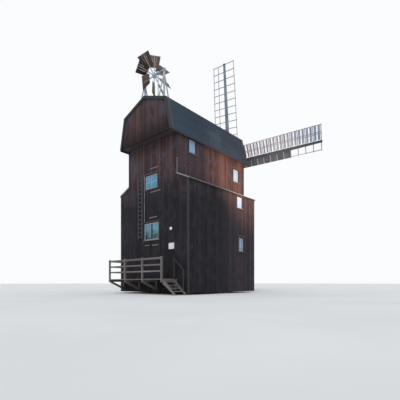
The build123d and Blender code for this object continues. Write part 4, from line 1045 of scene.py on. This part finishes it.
def fan_place(index):
    """The frame of one blade: Z along it, Y out of its face."""
    turn = turned_about("X", 360 / len(BLADE_TONES) * index)
    return Matrix.Translation(FAN_HUB) @ turn @ turned_about("Z", 90 - FAN_PITCH)


def blade_half(z):
    """Half a blade's width at a distance from the hub."""
    share = (z - FAN_ROOT_R) / (FAN_R - FAN_ROOT_R)
    return (FAN_ROOT_W + share * (FAN_TIP_W - FAN_ROOT_W)) / 2


def blade_boards():
    """Three tapered boards a blade, a little apart and each with its own tone, in place of the blades."""
    boards = []
    half, gap = FAN_ROOT_W / 2, 0.006
    for i, own in enumerate(BLADE_TONES):
        for a, b in shared_out((-half, half), FAN_ROOT_W / 3):
            low = (a + gap / 2, BLADE_FACES[0], FAN_ROOT_R)
            board = drawn_out(low, (b - gap / 2, BLADE_FACES[1], FAN_R))
            for corner in board.data.vertices:
                corner.co.x *= blade_half(corner.co.z) / half
            tone = min(1, max(0, own + chance.uniform(-0.15, 0.15)))
            board.data.attributes["tone"].data.foreach_set("value", [tone] * len(board.data.vertices))
            board.data.transform(fan_place(i))
            boards.append(board)
    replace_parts(joined("blade_boards", boards, "fan", "fan_boards"), "fan_blades")


def blade_battens():
    """On every blade a pale batten up its middle, and two cleats that hold its boards together."""
    pale, dark = [], []
    face, width, short = BLADE_FACES[1], 0.025, 0.03
    batten_t, cleat_t, cleats = 0.018, 0.017, (0.66, 1.26)
    for i in range(len(BLADE_TONES)):
        place = fan_place(i)
        high = (width, face + batten_t, FAN_R - short)
        pale.append(drawn_out((-width, face, FAN_ROOT_R), high, place))
        for z in cleats:
            half = blade_half(z) - short
            for x0, x1 in ((-half, -width - 0.002), (width + 0.002, half)):
                dark.append(drawn_out((x0, face, z - width), (x1, face + cleat_t, z + width), place))
    joined("blade_battens", pale, "fan", "weathered_timber")
    joined("blade_cleats", dark, "fan", "fan_boards")


def fan_irons():
    """Straps over the axle's bearings, foot plates under the posts, and bands on the gear case."""
    half, over, plate, plate_t = 0.03, 0.081, 0.13, 0.035
    case_x, case_half, band = (0.295, 0.505), 0.105, 0.03
    y, z = FAN_HUB[1:]
    fall = (RIDGE - BREAK) / BREAK_HALF
    roof = RIDGE - fall * FAN_POST_X
    irons = []
    for side in (-1, 1):
        x = side * FAN_POST_X
        irons.append(drawn_out((x - half, y - over, z - 0.02), (x + half, y + over, z + over)))
        foot = drawn_out((x - plate, y - plate, roof), (x + plate, y + plate, roof + plate_t))
        for corner in foot.data.vertices:
            corner.co.z -= side * (corner.co.x - x) * fall
        irons.append(foot)
    for rise in (-0.09, 0.06):
        low = (case_x[0], y - case_half, z + rise)
        irons.append(drawn_out(low, (case_x[1], y + case_half, z + rise + band)))
    joined("fan_irons", irons, "house", "iron")


# Sails


def shaft_place():
    """The frame of the wind shaft at the hub, Y along its axis."""
    return Matrix.Translation(HUB) @ turned_about("X", SHAFT_TILT)


def sail_place(index):
    """The frame of a stock, Z along one of its sails."""
    turn = turned_about("Y", SAIL_ROLL + 90 * index)
    return shaft_place() @ turn @ Matrix.Translation((0, STOCK_OFFSET * (-1) ** index, 0))


def bay_places(bays):
    """The frames of the twisted sail in the middle of the first bays of both shuttered sails."""
    places = []
    for index in (1, 3):
        for bay in range(bays):
            distance = SAIL_START + bay * SAIL_PITCH + SAIL_PITCH / 2
            share = (distance - SAIL_START) / (SAIL_R - SAIL_START)
            twist = turned_about("Z", WEATHER_HEEL + share * (WEATHER_TIP - WEATHER_HEEL))
            places.append(sail_place(index) @ Matrix.Translation((0, BAR_Y, distance)) @ twist)
    return places


def stock_irons():
    """Iron bands round the stocks by the poll and at their tips, and oak wedges in the mortises."""
    bands, wedges = [], []
    half_band, proud, front_proud = 0.04, 0.007, 0.009
    wedge, wedge_x = 0.09, (0.148, 0.19)
    for index in range(4):
        place = sail_place(index)
        for distance in (0.6, 0.98, SAIL_R - 0.05):
            share = distance / SAIL_R
            half = (STOCK_W + (STOCK_TIP_W - STOCK_W) * share) / 2 + proud
            front = STOCK_D / 2 - (STOCK_D - STOCK_TIP_D) * share + front_proud
            low = (-half, -STOCK_D / 2 - proud, distance - half_band)
            bands.append(drawn_out(low, (half, front, min(distance + half_band, SAIL_R)), place))
        for side in (-1, 1):
            a, b = mirrored(side, *wedge_x)
            wedges.append(drawn_out((a, -wedge, POLL_R), (b, wedge, POLL_R + wedge), place))
    r = POLL_R + 0.01
    for y in (-0.44, 0.36):
        bands.append(drawn_out((-r, y, -r), (r, y + 2 * half_band, r), shaft_place()))
    joined("stock_bands", bands, "sails", "iron")
    joined("poll_wedges", wedges, "sails", "frame_timber")


def poll_plate():
    """A turned iron plate on the end of the poll, with its centre boss."""
    profile = [
        (0, 0), (0.27, 0), (0.27, 0.014), (0.25, 0.02), (0.11, 0.02), (0.1, 0.05), (0.06, 0.062), (0, 0.062)
    ]
    place = shaft_place() @ Matrix.Translation((0, POLL_L / 2, 0)) @ turned_about("X", -90)
    finished(turned(profile, 36, place), "poll_plate", "sails", "iron")


def striking_rods():
    """The rod along each shuttered sail that links the shutters' front edges."""
    x, r, y0, y1 = 0.09 - DRIVE_SHUTTER * 0.55, 0.012, 0.108, 0.128
    half = SAIL_PITCH / 2 + 0.01
    rods = [drawn_out((x - r, y0, -half), (x + r, y1, half), place) for place in bay_places(SAIL_BAYS)]
    joined("striking_rods", rods, "sails", "iron")


def board_rails():
    """A planed rail along the outer edge of the windboards, and two battens across every bay."""
    back, rail_front, batten_front, half_batten = 0.011, 0.03, 0.024, 0.02
    rail_in = LEAD_SHUTTER - 0.05
    batten_x = (0.2, rail_in - 0.002)
    rails = []
    half = SAIL_PITCH / 2 - BAR_W / 2 - 0.004
    for place in bay_places(SAIL_BAYS - LEAD_LATTICE_BAYS):
        rails.append(drawn_out((rail_in, back, -half), (LEAD_SHUTTER, rail_front, half), place))
        for z in (-0.14, 0.14):
            low = (batten_x[0], back, z - half_batten)
            rails.append(drawn_out(low, (batten_x[1], batten_front, z + half_batten), place))
    joined("board_rails", rails, "sails", "sail_boards")


for make in (
    wall_boards, corner_boards, corner_felt, window_trims, felts, verge_boards, verge_flashing, drip_boards,
    eaves_boards, deck_planks, rail_details, lamp_pieces, plate_rim, door_casing, door_planks, door_handle,
    short_boards, pale_strip_by_ladder, rail_chairs, blade_boards, blade_battens, fan_irons, stock_irons,
    poll_plate, striking_rods, board_rails,
):
    make()

for master in (SAWN, PLANED, BOLT):
    bpy.data.objects.remove(master)


# Floor, backdrop, light and camera


def stage():
    """A wide pale floor."""
    deselect_all()
    bpy.ops.mesh.primitive_circle_add(vertices=96, radius=160, fill_type="NGON", location=(0, 0, 0))
    floor = bpy.context.object
    floor.name = "floor"
    floor.data.materials.append(plaster_finish("pale_plaster"))


def world_light():
    """Even light from all round, and a nearly white backdrop to the camera and in reflections."""
    world = bpy.data.worlds.new("pale_sky")
    bpy.context.scene.world = world
    world.use_nodes = True
    tree = world.node_tree
    tree.nodes.clear()
    seen = add(tree, "LightPath", out="Is Camera Ray")
    for ray in ("Is Glossy Ray", "Is Transmission Ray"):
        seen = add(tree, "Math", {0: seen, 1: add(tree, "LightPath", out=ray)}, operation="MAXIMUM")
    soft = add(tree, "Background", {"Color": "#eef2f8", "Strength": 0.62})
    backdrop = add(tree, "Background", {"Color": "#fafcfd", "Strength": 1.0})
    add(tree, "OutputWorld", {"Surface": add(tree, "MixShader", {0: seen, 1: soft, 2: backdrop})})


def lamp_towards(name, kind, spot, aim, **settings):
    """A lamp at a spot that shines towards a point."""
    data = bpy.data.lights.new(name, kind)
    for key, value in settings.items():
        setattr(data, key, value)
    lamp = bpy.data.objects.new(name, data)
    lamp.location = spot
    lamp.rotation_euler = (Vector(aim) - Vector(spot)).to_track_quat("-Z", "Y").to_euler()
    lamp.visible_camera = False
    bpy.context.collection.objects.link(lamp)


def photograph_camera():
    """The camera of the photograph."""
    data = bpy.data.cameras.new("photograph")
    data.lens = CAMERA_LENS
    data.sensor_width = 36
    data.shift_y = CAMERA_SHIFT
    data.clip_end = 600
    camera = bpy.data.objects.new("photograph", data)
    camera.location = CAMERA_AT
    camera.rotation_euler = (math.radians(90), 0, math.radians(CAMERA_AZIMUTH))
    bpy.context.collection.objects.link(camera)
    bpy.context.scene.camera = camera


stage()
world_light()
lamp_towards("soft_sun", "SUN", (14, -30, 40), (0, 0, 6), energy=1.1, angle=math.radians(30))
lamp_towards(
    "warm_head_side", "SPOT", (9.5, 0.5, 6.0), (2.5, 4.0, 9.6), energy=4800, spot_size=math.radians(84),
    spot_blend=1.0, shadow_soft_size=0.6, color=(1.0, 0.62, 0.38),
)
photograph_camera()
bpy.context.scene.view_settings.view_transform = "Standard"
